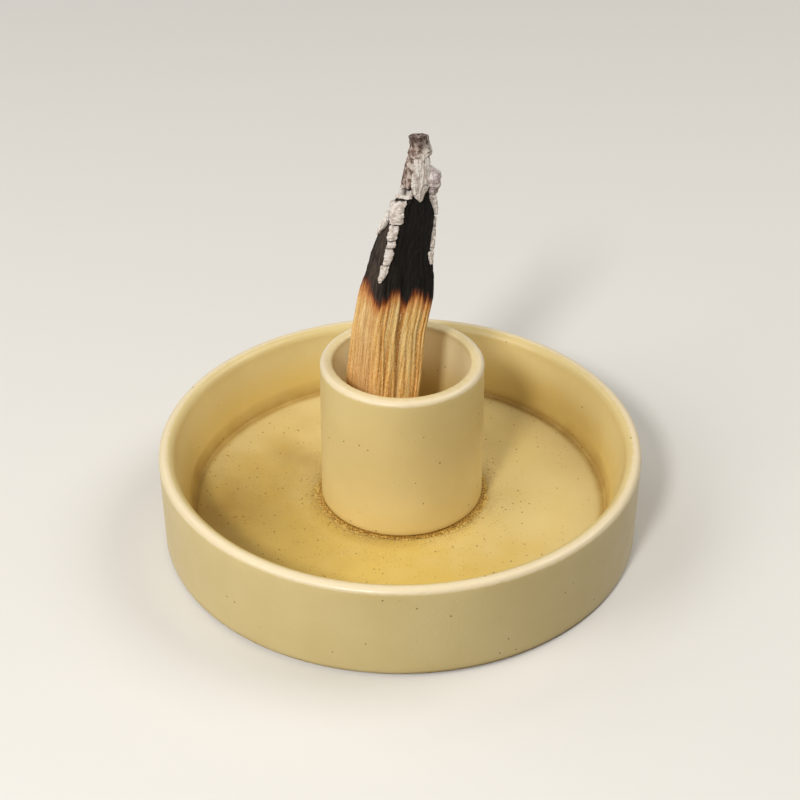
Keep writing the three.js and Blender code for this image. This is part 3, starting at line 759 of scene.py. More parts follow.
def dish_fields(rings, radius, height, inside, low, from_cup):
    """Where the dish's glaze is thin, with a painted highlight on the rim; pooled and stained, with
    painted shade in the folds, along the wall's foot, on the lower inner wall and on the left floor;
    deep; and grained.
    """
    x, _, z = np.moveaxis(rings, -1, 0)
    from_axis = length(rings[..., :2])
    leftward = -x / np.maximum(from_axis, 1)
    sideways = np.abs(x - CUP_CENTRE[0]) / np.maximum(from_cup + CUP_FOOT_RADIUS, 0.01)
    to_back_right = (0.6 * x + 0.8 * rings[..., 1]) / DISH_RADIUS
    to_front_left = -(0.6 * x + 0.9 * rings[..., 1]) / DISH_RADIUS
    # The rim's outer edge is paler: thin glaze with a painted highlight.
    outer_top = smooth(height, DISH_HEIGHT - 1.7, DISH_HEIGHT - 0.4)
    edge = outer_top * smooth(radius, DISH_RADIUS - 2.6, DISH_RADIUS - 1.3) + 0 * z

    # Where the floor meets the wall: pooled glaze with painted crease shade.
    fold_pool_and_shade = inside * (height < DISH_FLOOR_TOP + 2.5) * hump(radius, DISH_FLOOR_EDGE + 0.1, 1.1)
    fold_pool_and_shade = fold_pool_and_shade * (0.85 + 0.15 * np.abs(leftward)) * (0.9 + 0.6 * rough(rings, 5, 30))
    # A painted shade line along the outer wall's foot, where the dish meets the floor.
    wall_foot = hump(height, 0.3, 0.8) * ~inside * (radius > 40)
    foot_shade_line = 0.75 * wall_foot * (0.7 + 1.2 * rough(rings, 12, 32))
    lower_wall = inside * (1 - smooth(z, DISH_FLOOR_TOP + 3, DISH_HEIGHT - 3))
    lower_wall = lower_wall * smooth(from_axis, DISH_FLOOR_EDGE - 2, DISH_FLOOR_EDGE)
    wall_shade = lower_wall * smooth(to_back_right, 0.6, 0.9) * (0.45 + 0.3 * rough(rings, 8, 36))
    # Brown smears on the floor, leaning left: real stains with the left wall's shade painted in.
    blur = np.clip(0.5 + 0.9 * rough(rings, (9, 9, 40), 33, 5), 0, 1)
    smears_and_shade = 0.25 * low * smooth(rough(rings, (7, 7, 40), 33, 5) + 0.6 * leftward, 0.05, 1.1)
    for *place, half_width, strength in BROWN_AND_SHADE_PATCHES:
        patch = hump(length(rings[..., :2] - place), 0, half_width)
        smears_and_shade = smears_and_shade + low * strength * patch * blur
    pool = np.clip(np.maximum.reduce([fold_pool_and_shade, foot_shade_line, smears_and_shade, wall_shade]), 0, 1)

    gold = smooth(to_front_left + 0.4 * rough(rings, 9, 34), -0.35, 0.45)
    far = smooth(from_axis, 33, 41) * (1 - smooth(to_front_left, 0.2, 0.6))
    deep = low * np.clip((0.3 + 0.7 * gold) * (1 - 0.6 * far), 0, 1)
    # The lower inner wall is deepened too: painted shade.
    deep = np.maximum(deep, 0.7 * lower_wall)

    narrow, wide = STAIN_WIDTHS
    width = (narrow + (wide - narrow) * sideways ** 1.5) * (1 + 0.35 * rough(rings, 3, 31))
    stain = low * (1 - smooth(from_cup, -0.2, width)) * (0.75 + 0.25 * sideways)
    # Brown grains in the crease with painted crease shade, most at the back right.
    fold_stain_and_shade = low * hump(radius, DISH_FLOOR_EDGE, 1.3) * (0.2 + 0.6 * smooth(to_back_right, 0.3, 0.8))
    stain = np.maximum(stain, fold_stain_and_shade * smooth(rough(rings, 5, 47), -0.5, 0.4))

    grains = low * (0.3 + 0.5 * gold + 0.6 * hump(from_cup, 2, 4)) * (1 + 0.9 * rough(rings, 12, 40))
    leftmost = smooth(leftward, 0.2, 0.8) * smooth(from_axis, 22, 30)
    grains = grains + 0.6 * low * leftmost * smooth(rough(rings, 9, 45), -0.1, 0.4)
    grains = grains + 0.9 * wall_foot * smooth(rough(rings, 9, 50), 0.2, 0.5)
    return {"edge": edge, "pool": pool, "deep": deep, "stain": stain, "grains": grains}


def add_dish():
    outline = np.array(dish_outline())
    radius, height = outline.T[..., None]
    inside = np.arange(len(outline))[:, None] > int(np.argmax(height))
    on_floor = inside & (radius <= DISH_FLOOR_EDGE + DISH_COVE_RADIUS)
    crease = on_floor * hump(radius, DISH_FLOOR_EDGE, CREASE_HALF_WIDTH)
    rings = hand_made(turned(outline, (0, 0), DISH_AROUND), np.zeros(2), 1)
    from_cup = length(rings[..., :2] - CUP_CENTRE) - CUP_FOOT_RADIUS
    low = inside & (rings[..., 2] < DISH_FLOOR_TOP + 1)
    swell = low * hump(from_cup, SWELL_OUT, SWELL_HALF_WIDTH)
    ripple = low * RIPPLE * rough(rings, 6, 9)
    rings[..., 2] += SWELL_HEIGHT * swell - CREASE_DEPTH * crease + ripple
    fields = dish_fields(rings, radius, height, inside, low, from_cup)
    add_loft("dish_glazed", rings, GLAZE, "holder", "glaze", ["dish"], sharp=40, **fields)


def cup_outline():
    foot = CUP_FOOT_ROUNDING
    outside = arc(CUP_FOOT_RADIUS - foot, CUP_BASE + foot, foot, -90, 0)
    outer = CUP_LIP_ROUNDING
    outside_top = arc(CUP_RADIUS - outer, CUP_LIP - outer, outer, 0, 90)
    inner = CUP_LIP_ROUNDING_INSIDE
    inside_top = arc(CUP_BORE + inner, CUP_LIP - inner, inner, 90, 180)
    cove = CUP_COVE_RADIUS
    inside_foot = arc(CUP_BORE - cove, CUP_FLOOR + cove, cove, 0, -90)
    under = (CUP_AXIS_RING, CUP_BASE)
    middle = (CUP_AXIS_RING, CUP_FLOOR)
    return [
        under,
        *along(under, outside[0], 4),
        *outside,
        *along(outside[-1], outside_top[0], 34),
        *outside_top,
        *inside_top,
        *along(inside_top[-1], inside_foot[0], 26),
        *inside_foot,
        *along(inside_foot[-1], middle, 8),
        middle,
    ]


def add_cup():
    outline = np.array(cup_outline())
    rings = hand_made(turned(outline, CUP_CENTRE, CUP_AROUND), CUP_CENTRE, 60)
    radius, height = outline.T[..., None]
    inside = np.arange(len(outline))[:, None] > int(np.argmax(height))
    height = height + 0 * rings[..., 0]
    # The lip is paler: thin glaze with a painted highlight.
    thin_top_and_highlight = smooth(height, CUP_LIP - 1.6, CUP_LIP - 0.3)
    edge = thin_top_and_highlight * (0.55 + 0.45 * smooth(radius, CUP_BORE + 1.2, CUP_BORE + 2))
    # Brown round the foot, where the glaze pools at the joint, and in the cup's bottom, pooled glaze
    # with painted shade.
    pool = 0.5 * hump(height, CUP_BASE + 0.2, 0.7) + 0.4 * inside * hump(height, CUP_FLOOR, 1.5)
    # Further down inside the cup the glaze turns deeper and darker: painted shade.
    sunk = smooth(CUP_LIP - height, 3, 15)
    deep = 0.3 * ~inside * (1 - smooth(height, CUP_BASE, CUP_BASE + 9)) + 0.9 * inside * sunk
    # Paler just under the lip inside the cup: painted light.
    pale = inside * smooth(CUP_LIP - height, 0, 2) * (1 - 0.8 * sunk)
    grains = 0.35 * hump(height, CUP_BASE, 3) * (1 + rough(rings, 8, 70))
    stain = 0.5 * ~inside * (1 - smooth(height, CUP_BASE + 0.2, CUP_BASE + 0.6)) * smooth(radius, 12, 14)
    add_loft("cup_glazed", rings, GLAZE, "holder", "glaze", ["cup"], sharp=40,
             edge=edge, pool=pool, deep=deep, stain=stain, grains=grains, pale=pale)


def add_slip():
    """The bed of slip under the cup and its squeezed-out bead, wider at the left and the right."""
    base = SEAM_LOW[2]
    bed_top = base + SLIP_THICKNESS
    inner = CUP_FOOT_RADIUS - 0.1
    outline = [(AXIS_RING, base), *along((AXIS_RING, base), (inner, base), 3), (inner, base)]
    bead = len(outline)
    for share in np.arange(BEAD_STEPS + 1) / BEAD_STEPS:
        out = SLIP_BEAD_WIDTH * (1 - share) ** 1.2
        outline.append((inner + out, base + SLIP_THICKNESS * share ** 1.6))
    outline += [(inner, bed_top), (AXIS_RING, bed_top)]
    rows = np.arange(len(outline))[:, None]
    rings = turned(outline, CUP_CENTRE, SLIP_AROUND)
    away = rings[..., :2] - CUP_CENTRE
    radius = length(away)
    sideways = np.abs(away[..., 0]) / np.maximum(radius, 0.01)
    out = np.maximum(radius - inner, 0)
    stretch = 0.25 + 0.75 * sideways ** 1.5 + 0.45 * rough(rings * (1, 1, 0), 2.4, 80)
    grit = 0.16 * rough(rings, 0.4, 85) * smooth(out, 0.02, 0.3)
    reach = inner + out * np.maximum(stretch, 0.15) + grit
    on_bead = (rows >= bead) & (out > 0)
    moved = CUP_CENTRE + away / radius[..., None] * reach[..., None]
    rings[..., :2] = np.where(on_bead[..., None], moved, rings[..., :2])
    tall = base + (rings[..., 2] - base) * (0.7 + 0.5 * rough(rings * (1, 1, 0), 1.7, 90))
    on_bead = (rows >= bead) & (rows <= bead + BEAD_STEPS)
    rings[..., 2] = np.where(on_bead, np.maximum(tall, base), rings[..., 2])
    wide = SLIP_BEAD_WIDTH * (0.25 + 0.75 * sideways ** 1.5)
    brown = 1 - smooth(np.maximum(reach - inner, 0) / wide + 0.4 * rough(rings, 0.7, 95), 0.3, 1.0)
    add_loft("slip_bead", rings, SLIP, "holder", "slip", ["slip_seam"], sharp=60, brown=brown)


def add_crumbs(name, finish, slot, count, small, large, reach):
    """Crumbs that lie round the cup's foot, half sunk in the floor's glaze."""
    draw = np.random.default_rng(SEED + count)
    angles = draw.uniform(0, 2 * math.pi, count * 2)
    kept = draw.uniform(0, 1, count * 2) < 0.4 + 0.6 * np.abs(np.cos(angles))
    angles = angles[kept][:count]
    out = 0.2 + reach * draw.uniform(0, 1, len(angles)) ** 1.8
    sizes = small + (large - small) * draw.uniform(0, 1, len(angles)) ** 2
    floor = DISH_FLOOR_TOP + SWELL_HEIGHT * hump(out, SWELL_OUT, SWELL_HALF_WIDTH)
    radius = CUP_FOOT_RADIUS + out
    middles = np.stack([
        CUP_CENTRE[0] + radius * np.cos(angles),
        CUP_CENTRE[1] + radius * np.sin(angles),
        floor - 0.2 * sizes,
    ], axis=-1)
    ball = np.array([(1, 0, 0), (0, 1, 0), (-1, 0, 0), (0, -1, 0), (0, 0, 1), (0, 0, -1)])
    faces = np.array([
        (0, 1, 4), (1, 2, 4), (2, 3, 4), (3, 0, 4),
        (1, 0, 5), (2, 1, 5), (3, 2, 5), (0, 3, 5),
    ])
    lumps = draw.uniform(0.7, 1.3, (len(angles), 6, 1)) * sizes[:, None, None] * ball * (1, 1, 0.9)
    points = (middles[:, None] + lumps).reshape(-1, 3)
    starts = 6 * np.arange(len(angles))[:, None, None]
    tone = np.repeat(draw.uniform(0, 1, len(angles)), 6)
    add_piece(name, points, [], (faces + starts).reshape(-1, 3), finish, "holder", slot,
              deep=1 - tone, pale=tone ** 2, brown=tone)


# Stick

def stick_sizes(heights):
    """The outline's bow, width, depth and edge at these heights, with its turns softened."""
    heights = np.asarray(heights, float)
    fine = np.arange(-4, WOOD_LENGTH + CHAR_LENGTH + 4, 0.25)
    place = np.where(fine < WOOD_LENGTH, fine / WOOD_LENGTH, 1 + (fine - WOOD_LENGTH) / CHAR_LENGTH)
    spread = np.exp(-(np.arange(-8, 9) * 0.25 / 0.6) ** 2)
    spread /= spread.sum()
    sizes = []
    for column in range(1, 5):
        values = np.interp(place, STICK_OUTLINE[:, 0], STICK_OUTLINE[:, column])
        soft = np.convolve(np.pad(values, 8, mode="edge"), spread, mode="valid")
        sizes.append(np.interp(heights, fine, soft))
    bow, width, depth, edge = sizes
    middle = heights * math.tan(math.radians(STICK_LEAN)) + bow * STICK_WIDTH
    return middle, width * STICK_WIDTH, depth, edge


def plain_points(rounds, heights):
    """Places (x, y) from the foot's middle on the stick's plain outline, its long edges rounded."""
    middle, width, depth, edge = stick_sizes(heights)
    front = depth * STICK_FRONT
    back = depth * STICK_BACK
    left = middle - width / 2
    right = middle + width / 2
    inset = np.minimum(back * BACK_EDGE_INSET, width / 4)
    edges = np.stack([
        np.stack([left, 0 * left], axis=-1),
        np.stack([left + edge * width, -front], axis=-1),
        np.stack([right, -front * RIGHT_EDGE_FORWARD], axis=-1),
        np.stack([right - inset, back], axis=-1),
        np.stack([left + inset, back], axis=-1),
    ], axis=-2)

    def corner(index):
        index = np.mod(index, EDGES).astype(int)[..., None, None]
        return np.take_along_axis(edges, index, axis=-2)[..., 0, :]

    side = np.floor(rounds)
    along_side = rounds - side
    near = np.where(along_side < 0.5, side, side + 1)
    from_edge = np.where(along_side < 0.5, along_side, along_side - 1) / EDGE_ROUNDING
    straight = corner(side) + (corner(side + 1) - corner(side)) * along_side[..., None]
    before = corner(near) + (corner(near - 1) - corner(near)) * EDGE_ROUNDING
    after = corner(near) + (corner(near + 1) - corner(near)) * EDGE_ROUNDING
    share = np.clip((from_edge + 1) / 2, 0, 1)[..., None]
    curved = before * (1 - share) ** 2 + corner(near) * 2 * share * (1 - share) + after * share ** 2
    return np.where((np.abs(from_edge) >= 1)[..., None], straight, curved)


def stick_frame(rounds, heights):
    """Plain places on the stick and the direction straight out from each."""
    rounds, heights = np.broadcast_arrays(np.asarray(rounds, float), np.asarray(heights, float))
    plain = plain_points(rounds, heights)
    tangent = plain_points(rounds + 0.02, heights) - plain_points(rounds - 0.02, heights)
    tangent /= length(tangent)[..., None]
    return plain, np.stack([tangent[..., 1], -tangent[..., 0]], axis=-1)


def stick_place(plain, outward, proud, heights):
    """Places in the row frame, moved out from the stick's plain outline by proud."""
    flat = plain + outward * np.asarray(proud)[..., None]
    foot = CUP_CENTRE + (STICK_X, STICK_Y)
    return np.concatenate([flat + foot, (heights + STICK_FOOT_HEIGHT)[..., None]], axis=-1)


def grain_of(plain, heights):
    """Coordinates that run with the grain: across, front to back, and along the stick."""
    middle = stick_sizes(heights)[0]
    return np.stack([plain[..., 0] - middle, plain[..., 1], heights], axis=-1)


def burn_height(rounds):
    wrapped = np.mod(rounds, EDGES)
    line = WOOD_LENGTH + BURN_LINE_RISE * np.interp(wrapped, BURN_LINE[:, 0], BURN_LINE[:, 1])
    angles = wrapped * 2 * math.pi / EDGES
    circle = np.stack([np.cos(angles) * 9, np.sin(angles) * 9, 0 * angles], axis=-1)
    return line + 0.5 * rough(circle, 0.9, 300)


def stick_relief(rounds, heights, grain):
    """How far the split, weathered surface stands out from the plain outline, and how sunk it is."""
    wrapped = np.mod(rounds, EDGES)
    charred_share = smooth(heights - burn_height(rounds), -1, 3)
    up_the_char = np.clip((heights - WOOD_LENGTH) / CHAR_LENGTH, 0, 1)
    below = WOOD_LENGTH - heights
    drift = 0.02 * noise(np.stack([0 * heights, 0 * heights, heights], axis=-1), (1, 1, 9), 110)
    sunk = 0
    crest = 0
    for kind, marks in (("groove", GROOVES), ("ridge", RIDGES)):
        for number, (place, slant, size, half_width) in enumerate(marks):
            at = place + drift + slant * below / 20
            line = np.stack([0 * heights, 0 * heights + number, heights], axis=-1)
            strength = 0.8 + 0.5 * noise(line, (1, 1, 6), 120)
            mark = size * strength * hump(wrapped, at, half_width)
            if kind == "groove":
                sunk = sunk + mark
            else:
                crest = crest + mark
    fade = 1 - 0.7 * up_the_char
    smooth_face = hump(wrapped, 0.5, 0.42)
    coarse = rough(grain, (0.9, 0.9, 30), 130)
    fibres = rough(grain, (0.35, 0.35, 14), 140, 2)
    splits = 1 - smooth(np.abs(noise(grain, (0.9, 0.9, 18), 150)), 0.0, 0.12)
    calm = 1 - 0.6 * smooth_face
    relief = calm * (0.17 * coarse + 0.09 * fibres - 0.06 * splits)
    scales = smooth(cracks(grain, (1.7, 1.7, 3.2), 160), 0.0, 0.16)
    crumbs = rough(grain, (0.45, 0.45, 1.0), 170)
    relief = relief + charred_share * (0.09 * crumbs - 0.1 * (1 - scales))
    relief = relief + fade * (crest - sunk)
    return relief, np.clip(sunk * 1.6 + calm * 0.25 * splits, 0, 1), np.clip(crest * 3, 0, 1)


def stick_surface(rounds, heights):
    """The stick's final surface and the fields that its materials read."""
    rounds, heights = np.broadcast_arrays(np.asarray(rounds, float), np.asarray(heights, float))
    plain, outward = stick_frame(rounds, heights)
    grain = grain_of(plain, heights)
    relief, sunk, crest = stick_relief(rounds, heights, grain)
    left = hump(np.mod(rounds, EDGES), 0.5, 0.45)
    return {
        "points": stick_place(plain, outward, relief, heights),
        "grain": grain,
        "sunk": sunk,
        "crest": crest,
        "left": left,
        "low_left": left * (1 - smooth(heights, 20, 40)),
        "burn": heights - burn_height(rounds),
    }


def add_stick_part(name, low, high, finish, slot, node):
    """One length of the stick, between a lower and an upper height at each place round it."""
    rounds = np.arange(STICK_AROUND) * EDGES / STICK_AROUND
    low = low + 0 * rounds
    high = high + 0 * rounds
    steps = math.ceil(float((high - low).max()) / STICK_STEP)
    share = np.linspace(0, 1, steps + 1)[:, None]
    surface = stick_surface(rounds[None, :] + 0 * share, low + (high - low) * share)
    points = surface.pop("points")
    add_loft(name, points, finish, "stick", slot, [node], sharp=65, **surface)


def add_stick():
    rounds = np.arange(STICK_AROUND) * EDGES / STICK_AROUND
    seam = burn_height(rounds)
    add_stick_part("wood_unburnt", 0, seam, WOOD, "wood", "stick_wood")
    add_stick_part("wood_charred", seam - 0.05, WOOD_LENGTH + CHAR_LENGTH, CHAR, "char", "stick_char")


# Ash

def flake_rows(rows, lines, columns):
    """Shares of the char's length and places round the stick over a flake, from its foot to its top."""
    rows = np.array([row if len(row) > 3 else (*row[:2], row[0], row[2]) for row in rows])
    middle = rows[:, [0, 2]].mean(axis=1)
    at = np.linspace(middle[0], middle[-1], lines)
    left_share, left, right_share, right = (np.interp(at, middle, rows[:, k])[:, None] for k in range(4))
    across = np.linspace(0, 1, columns)
    return left_share + (right_share - left_share) * across, left + (right - left) * across


def flake_crown(name, across, up):
    """How thick a flake is at each place, as a share of its full thickness."""
    if name == "ash_shoulder_right":
        return np.interp(up, *SHOULDER_UP) * np.interp(across, *SHOULDER_ACROSS)
    if name == "ash_tail_right":
        return np.sqrt(np.sin(math.pi * across)) * (0.15 + 0.85 * up ** 1.5)
    return np.sqrt(np.sin(math.pi * across) * np.sin(math.pi * up))


def ragged(sheet, coarse, fine):
    """How far a flake's border strays, in millimetres, from two seeds."""
    return 0.18 * rough(sheet, 0.7, coarse) + 0.1 * rough(sheet, 0.25, fine, 1)


def flake_relief(seed, name, tone, thickness, across, up, sheet, solid):
    """How far a flake's outer side stands out over its plain form, and where it is cracked."""
    lumps = rough(solid, 0.8, seed + 9) * (0.1 if thickness < 3 else 0.4)
    crosswise = name.startswith("ash_strip")
    ridges = 0.12 * rough(sheet, (1.5, 0.32, 1) if crosswise else (0.32, 1.8, 1), seed + 12)
    if name == "ash_face":
        ridges = 0.2 * rough(sheet, (0.28, 4.5, 1), seed + 12) + 0.12 * hump(across, 0.5, 0.2) * (1 - up)
    grit = 0.07 * rough(solid, 0.3, seed + 15, 2)
    brown = tone == "brown"
    gap = cracks(solid, (1.7, 1.7, 0.75) if brown else (3.2, 3.2, 2.0), seed + 18)
    rare = smooth(noise(solid, 1.6, seed + 21), -0.1 if brown else 0.15, 0.45)
    return lumps + ridges + grit, rare * (1 - smooth(gap, 0.01, 0.09 if brown else 0.05))


def flake_paleness(seed, tone, across, up, solid):
    """How far a brown or lilac flake turns white."""
    if tone == "lilac":
        return smooth(across + 0.5 * up + 0.3 * rough(solid, 0.7, seed + 24), 0.75, 1.05)
    return 0.6 * (tone == "brown") * smooth(noise(solid, 1.0, seed + 24), 0.0, 0.5)


def add_flake(index, name, tone, thickness, lift, growth, rows):
    """A flake of ash: a thin ragged plate on the char, with fine ridges and a few cracks."""
    seed = 400 + 20 * index
    share, rounds = flake_rows(rows, 9, 9)
    place, _ = stick_frame(rounds, WOOD_LENGTH + CHAR_LENGTH * share)
    wide = length(np.diff(place, axis=1)).sum(axis=1).max()
    tall = CHAR_LENGTH * (share[-1] - share[0]).mean()
    columns = max(10, math.ceil(wide / ASH_STEP))
    lines = max(10, math.ceil(tall / ASH_STEP))
    share, rounds = flake_rows(rows, lines, columns)
    heights = WOOD_LENGTH + CHAR_LENGTH * share
    across = np.linspace(0, 1, columns)[None, :] + 0 * share
    up = np.linspace(0, 1, lines)[:, None] + 0 * share
    place, _ = stick_frame(rounds, heights)
    width = length(np.diff(place, axis=1)).sum(axis=1)[:, None]
    per_round = width / np.maximum(rounds[:, -1:] - rounds[:, :1], 0.01)
    inward = np.minimum(np.minimum(across, 1 - across) * width, np.minimum(up, 1 - up) * tall)
    sheet = np.stack([across * wide, up * tall, 0 * up + index], axis=-1)
    border = 1 - smooth(inward, 0, 0.6)
    narrow = smooth(width, 0.2, 1.2)
    heights = heights + border * ragged(sheet, seed, seed + 6)
    shift = border * narrow * ragged(sheet, seed + 3, seed + 7)
    grown = smooth(up, 0.15, 0.45)
    shift = shift - grown * (growth[0] * (1 - across) ** 4 - growth[1] * across ** 4)
    rounds = rounds + shift / per_round
    plain, outward = stick_frame(rounds, heights)
    thick = ASH_EDGE + (thickness * ASH_THICKNESS - ASH_EDGE) * flake_crown(name, across, up)
    plate = np.sqrt(1 - (1 - np.clip(inward / 0.08, 0, 1)) ** 2)
    solid = stick_place(plain, outward, 0 * heights, heights)
    relief, cracked = flake_relief(seed, name, tone, thickness, across, up, sheet, solid)
    if name == "ash_ring_left":
        hollow = smooth(up, 0.4, 0.6) * hump(across, 0.68, 0.2)
        cracked = np.maximum(cracked, 1.25 * hollow)
        thick = thick - 0.3 * hollow
    lifted = lift * (1 - up) ** 1.5 * (1 - 0.5 * across)
    proud = CLEARANCE * 0.4 + (0.6 * CLEARANCE + thick) * (0.6 + 0.4 * plate)
    outer = proud + relief * plate - 0.25 * cracked * plate + lifted
    inner = np.minimum(lifted - ASH_SUNK * (1 - min(lift, 0.5) * 2 * (1 - up)), outer - 0.2)
    points = np.concatenate([
        stick_place(plain, outward, outer, heights).reshape(-1, 3),
        stick_place(plain, outward, inner, heights).reshape(-1, 3),
    ])
    # Cracks darken the outer side; the inner side is darkened by half all over, a painted shade under
    # the flake that also darkens its rim.
    dark = np.concatenate([(0.8 * cracked).ravel(), np.full(lines * columns, 0.5)])
    pale = flake_paleness(seed, tone, across, up, solid)
    whitened = np.concatenate([pale.ravel(), np.zeros(lines * columns)])
    finish = ASH["strip" if name.startswith("ash_strip") else tone]
    add_piece(name + "_flake", points, slab_faces(lines, columns), [], finish, "stick", "ash_" + tone,
              [name], sharp=35, cracked=dark, whitened=whitened)


def tip_rings(rounds):
    """Rings of points over the tip, flush with the flakes below; the ragged top rises to the right."""
    foot = WOOD_LENGTH + CHAR_LENGTH * (ASH_TIP_FOOT - 0.004)
    core = WOOD_LENGTH + CHAR_LENGTH
    top = core + CLEARANCE + ASH_TIP_CROWN
    angles = rounds * 2 * math.pi / EDGES
    circle = np.stack([np.cos(angles), np.sin(angles), 0 * angles], axis=-1)
    corner = hump(rounds, 2.0, 0.3)
    ragged_top = 0.14 * rough(circle, 0.5, 700) + 0.45 * corner - 0.4
    ragged_foot = 0.15 * rough(circle, 0.3, 710)
    rings = []
    for share in np.linspace(0, 1, 40):
        heights = foot + ragged_foot * (1 - share) + (top + ragged_top - foot) * share
        plain, outward = stick_frame(rounds, np.minimum(heights, core))
        rise = math.sqrt(1 - (1 - min(share / 0.06, 1)) ** 2)
        thick = CLEARANCE + ASH_THICKNESS * (0.4 + 0.6 * rise) - 0.06 * smooth(share, 0.95, 1)
        place = stick_place(plain, outward, thick + 0 * heights, heights)
        lumps = 0.08 * rough(place, 1.0, 720) + 0.1 * rough(place, 0.35, 730)
        bulge = 0.35 * hump(rounds, 2.1, 0.25) * hump(share, 0.25, 0.3)
        ring = stick_place(plain, outward, thick + lumps + bulge, heights)
        middle = ring.mean(axis=0)
        ring[:, 2] += share ** 3 * (0.65 - 0.55 * smooth(ring[:, 1] - middle[1], -1.5, 1.5))
        behind = smooth(ring[:, 1] - middle[1], -0.2, 1.0) * smooth(share, 0.2, 0.9)
        ring[:, 0] += 0.3 * behind * (ring[:, 0] - middle[0])
        ring[:, 0] -= 0.45 * smooth(share, 0.3, 1) * smooth(ring[:, 0] - middle[0], 0, 1.5)
        rings.append(ring)
    rim = rings[-1]
    centre = rim.mean(axis=0)
    for share in (0.92, 0.8, 0.65, 0.5, 0.35, 0.2, 0.08):
        ring = centre + (rim - centre) * share
        ring[:, 2] += 0.2 * rough(ring, 0.5, 740) - 0.1 * (1 - share)
        rings.append(ring)
    level = np.full(TIP_AROUND, foot)
    plain, outward = stick_frame(rounds, level)
    rings.insert(0, stick_place(plain, outward, 0 * level - ASH_SUNK, level + 0.2))
    return np.array(rings)


def add_tip():
    """The cap of ash over the tip, cracked and darker at its top, with white patches at its front."""
    rounds = np.arange(TIP_AROUND) * EDGES / TIP_AROUND
    rings = tip_rings(rounds)
    cracked = 0.8 * (1 - smooth(cracks(rings, (1.3, 1.3, 0.9), 750), 0.01, 0.05))
    cracked = cracked * smooth(noise(rings, 1.2, 760), 0, 0.4)
    upper = smooth(rings[..., 2] - rings[..., 2].max(), -3.0, -1.2)
    cracked = np.maximum(cracked, 0.6 * upper * (0.75 + 0.7 * rough(rings, 0.5, 765)))
    front = hump(rounds, 1.5, 0.55)[None, :] + np.zeros(rings.shape[:2])
    rise = rings[..., 2] - rings[..., 2].min() - 1.4 * hump(rounds, 1.9, 0.35)
    low = 1 - smooth(rise, 0.3, 2.2)
    patches = smooth(front * low + 0.8 * rough(rings, 0.35, 770, 2), 0.35, 0.6)
    side_line = hump(rounds, 2.02, 0.05)[None, :] * smooth(rough(rings, 1.2, 780), -0.3, 0.1)
    patches = np.maximum(patches, side_line)
    right_line = hump(rounds, 1.9, 0.05)[None, :] * smooth(rough(rings, 0.9, 790), 0, 0.3)
    cracked = np.maximum(cracked, 0.8 * right_line)
    add_loft("ash_tip_cap", rings, ASH["brown"], "stick", "ash_brown", ["ash_tip"], sharp=55,
             cracked=cracked, whitened=patches)


def add_ash():
    for index, flake in enumerate(ASH_FLAKES):
        add_flake(index, *flake)
    add_tip()


add_dish()
add_cup()
add_slip()
for crumbs, finish, slot in zip(CRUMBS, (SLIP, GLAZE), ("slip", "glaze")):
    add_crumbs(crumbs[0], finish, slot, *crumbs[1:])
add_stick()
add_ash()


# Stage: floor, light and camera, in metres

FLOOR_SIZE = 6.0
FLOOR_COLOUR = srgb(232, 230, 226)
FLOOR_BOUNCE = srgb(108, 98, 82)
FLOOR_FADE = (250, 900)  # millimetres from the middle, where a glow replaces the lamps' light
WORLD_COLOUR = srgb(232, 230, 226)
WORLD_LIGHT = 0.2
CAMERA_PLACE = (0.0, -0.310308, 0.234337)
CAMERA_TILT = 56.731  # degrees from straight down
CAMERA_LENS = 81.6465
CAMERA_SENSOR = 36.0
LIGHT_TARGET = (0.0, 0.0, 0.03)
# name, place, size, power in watts, colour
LAMPS = (
    ("key_front_left", (-0.2156, -0.5924, 0.5225), 0.12, 3.3, (1.0, 0.98, 0.95)),
    ("fill_left", (-0.5675, -0.3277, 0.4889), 0.45, 2.4, (1.0, 0.97, 0.92)),
    ("fill_right", (0.48, 0.15, 0.64), 0.5, 2.5, (1.0, 0.96, 0.89)),
    ("back_left", (-0.4, 0.4, 0.5957), 0.5, 1.0, (1.0, 0.97, 0.92)),
)


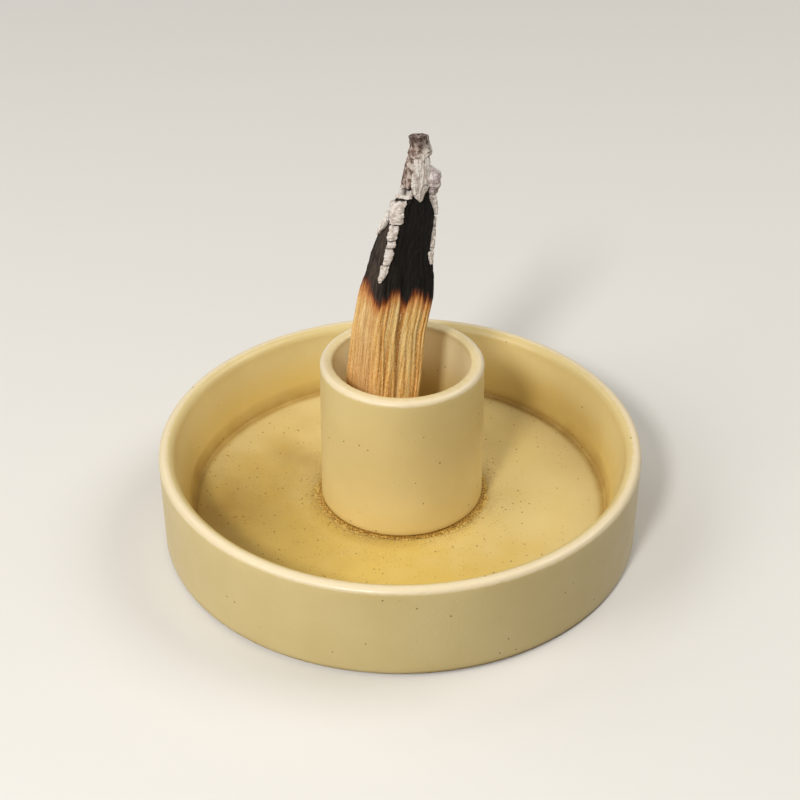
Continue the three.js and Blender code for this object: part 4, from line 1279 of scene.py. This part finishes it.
def add_floor():
    """A pale floor, which throws less light up at the object than it shows to the camera."""
    half = FLOOR_SIZE / 2
    mesh = bpy.data.meshes.new("floor")
    corners = [(-half, -half, 0), (half, -half, 0), (half, half, 0), (-half, half, 0)]
    mesh.from_pydata(corners, [], [(0, 1, 2, 3)])
    mat = Finish("floor_pale", 0.7)
    seen = mat.seen_by("Transmission", "Glossy")
    reach = mat.node("ShaderNodeVectorMath", {0: mat.place()}, operation="LENGTH")
    far = mat.times(seen, mat.rise(reach.outputs["Value"], *FLOOR_FADE))
    mat.shader.inputs["Emission Color"].default_value = FLOOR_COLOUR
    mat.feed(mat.shader.inputs["Emission Strength"], far)
    lit = mat.mix(seen, FLOOR_BOUNCE, FLOOR_COLOUR)
    mesh.materials.append(mat.done(mat.mix(far, lit, srgb(0, 0, 0))))
    floor = bpy.data.objects.new("floor", mesh)
    bpy.context.scene.collection.objects.link(floor)


def add_lamp(name, place, size, power, colour):
    data = bpy.data.lights.new(name, "AREA")
    data.shape = "DISK"
    data.size = size
    data.energy = power
    data.color = colour
    lamp = bpy.data.objects.new(name, data)
    bpy.context.scene.collection.objects.link(lamp)
    lamp.location = place
    aim = lamp.location.copy()
    aim.xyz = [t - p for t, p in zip(LIGHT_TARGET, place)]
    lamp.rotation_euler = aim.to_track_quat("-Z", "Y").to_euler()


def add_world():
    """A pale surround, which gives less light than it shows to the camera."""
    world = bpy.data.worlds.new("studio")
    nodes = Nodes(world)
    background = nodes.tree.nodes["Background"]
    background.inputs["Color"].default_value = WORLD_COLOUR
    inputs = {"Value": nodes.seen_by("Transmission"), "To Min": WORLD_LIGHT, "To Max": 1.0}
    strength = nodes.node("ShaderNodeMapRange", inputs).outputs["Result"]
    nodes.feed(background.inputs["Strength"], strength)
    bpy.context.scene.world = world


def add_camera():
    data = bpy.data.cameras.new("camera")
    data.lens = CAMERA_LENS
    data.sensor_width = CAMERA_SENSOR
    data.clip_start = 0.01
    camera = bpy.data.objects.new("camera", data)
    camera.location = CAMERA_PLACE
    camera.rotation_euler = (math.radians(CAMERA_TILT), 0, 0)
    bpy.context.scene.collection.objects.link(camera)
    bpy.context.scene.camera = camera


add_floor()
for lamp in LAMPS:
    add_lamp(*lamp)
add_world()
add_camera()
bpy.context.scene.view_settings.view_transform = "Standard"
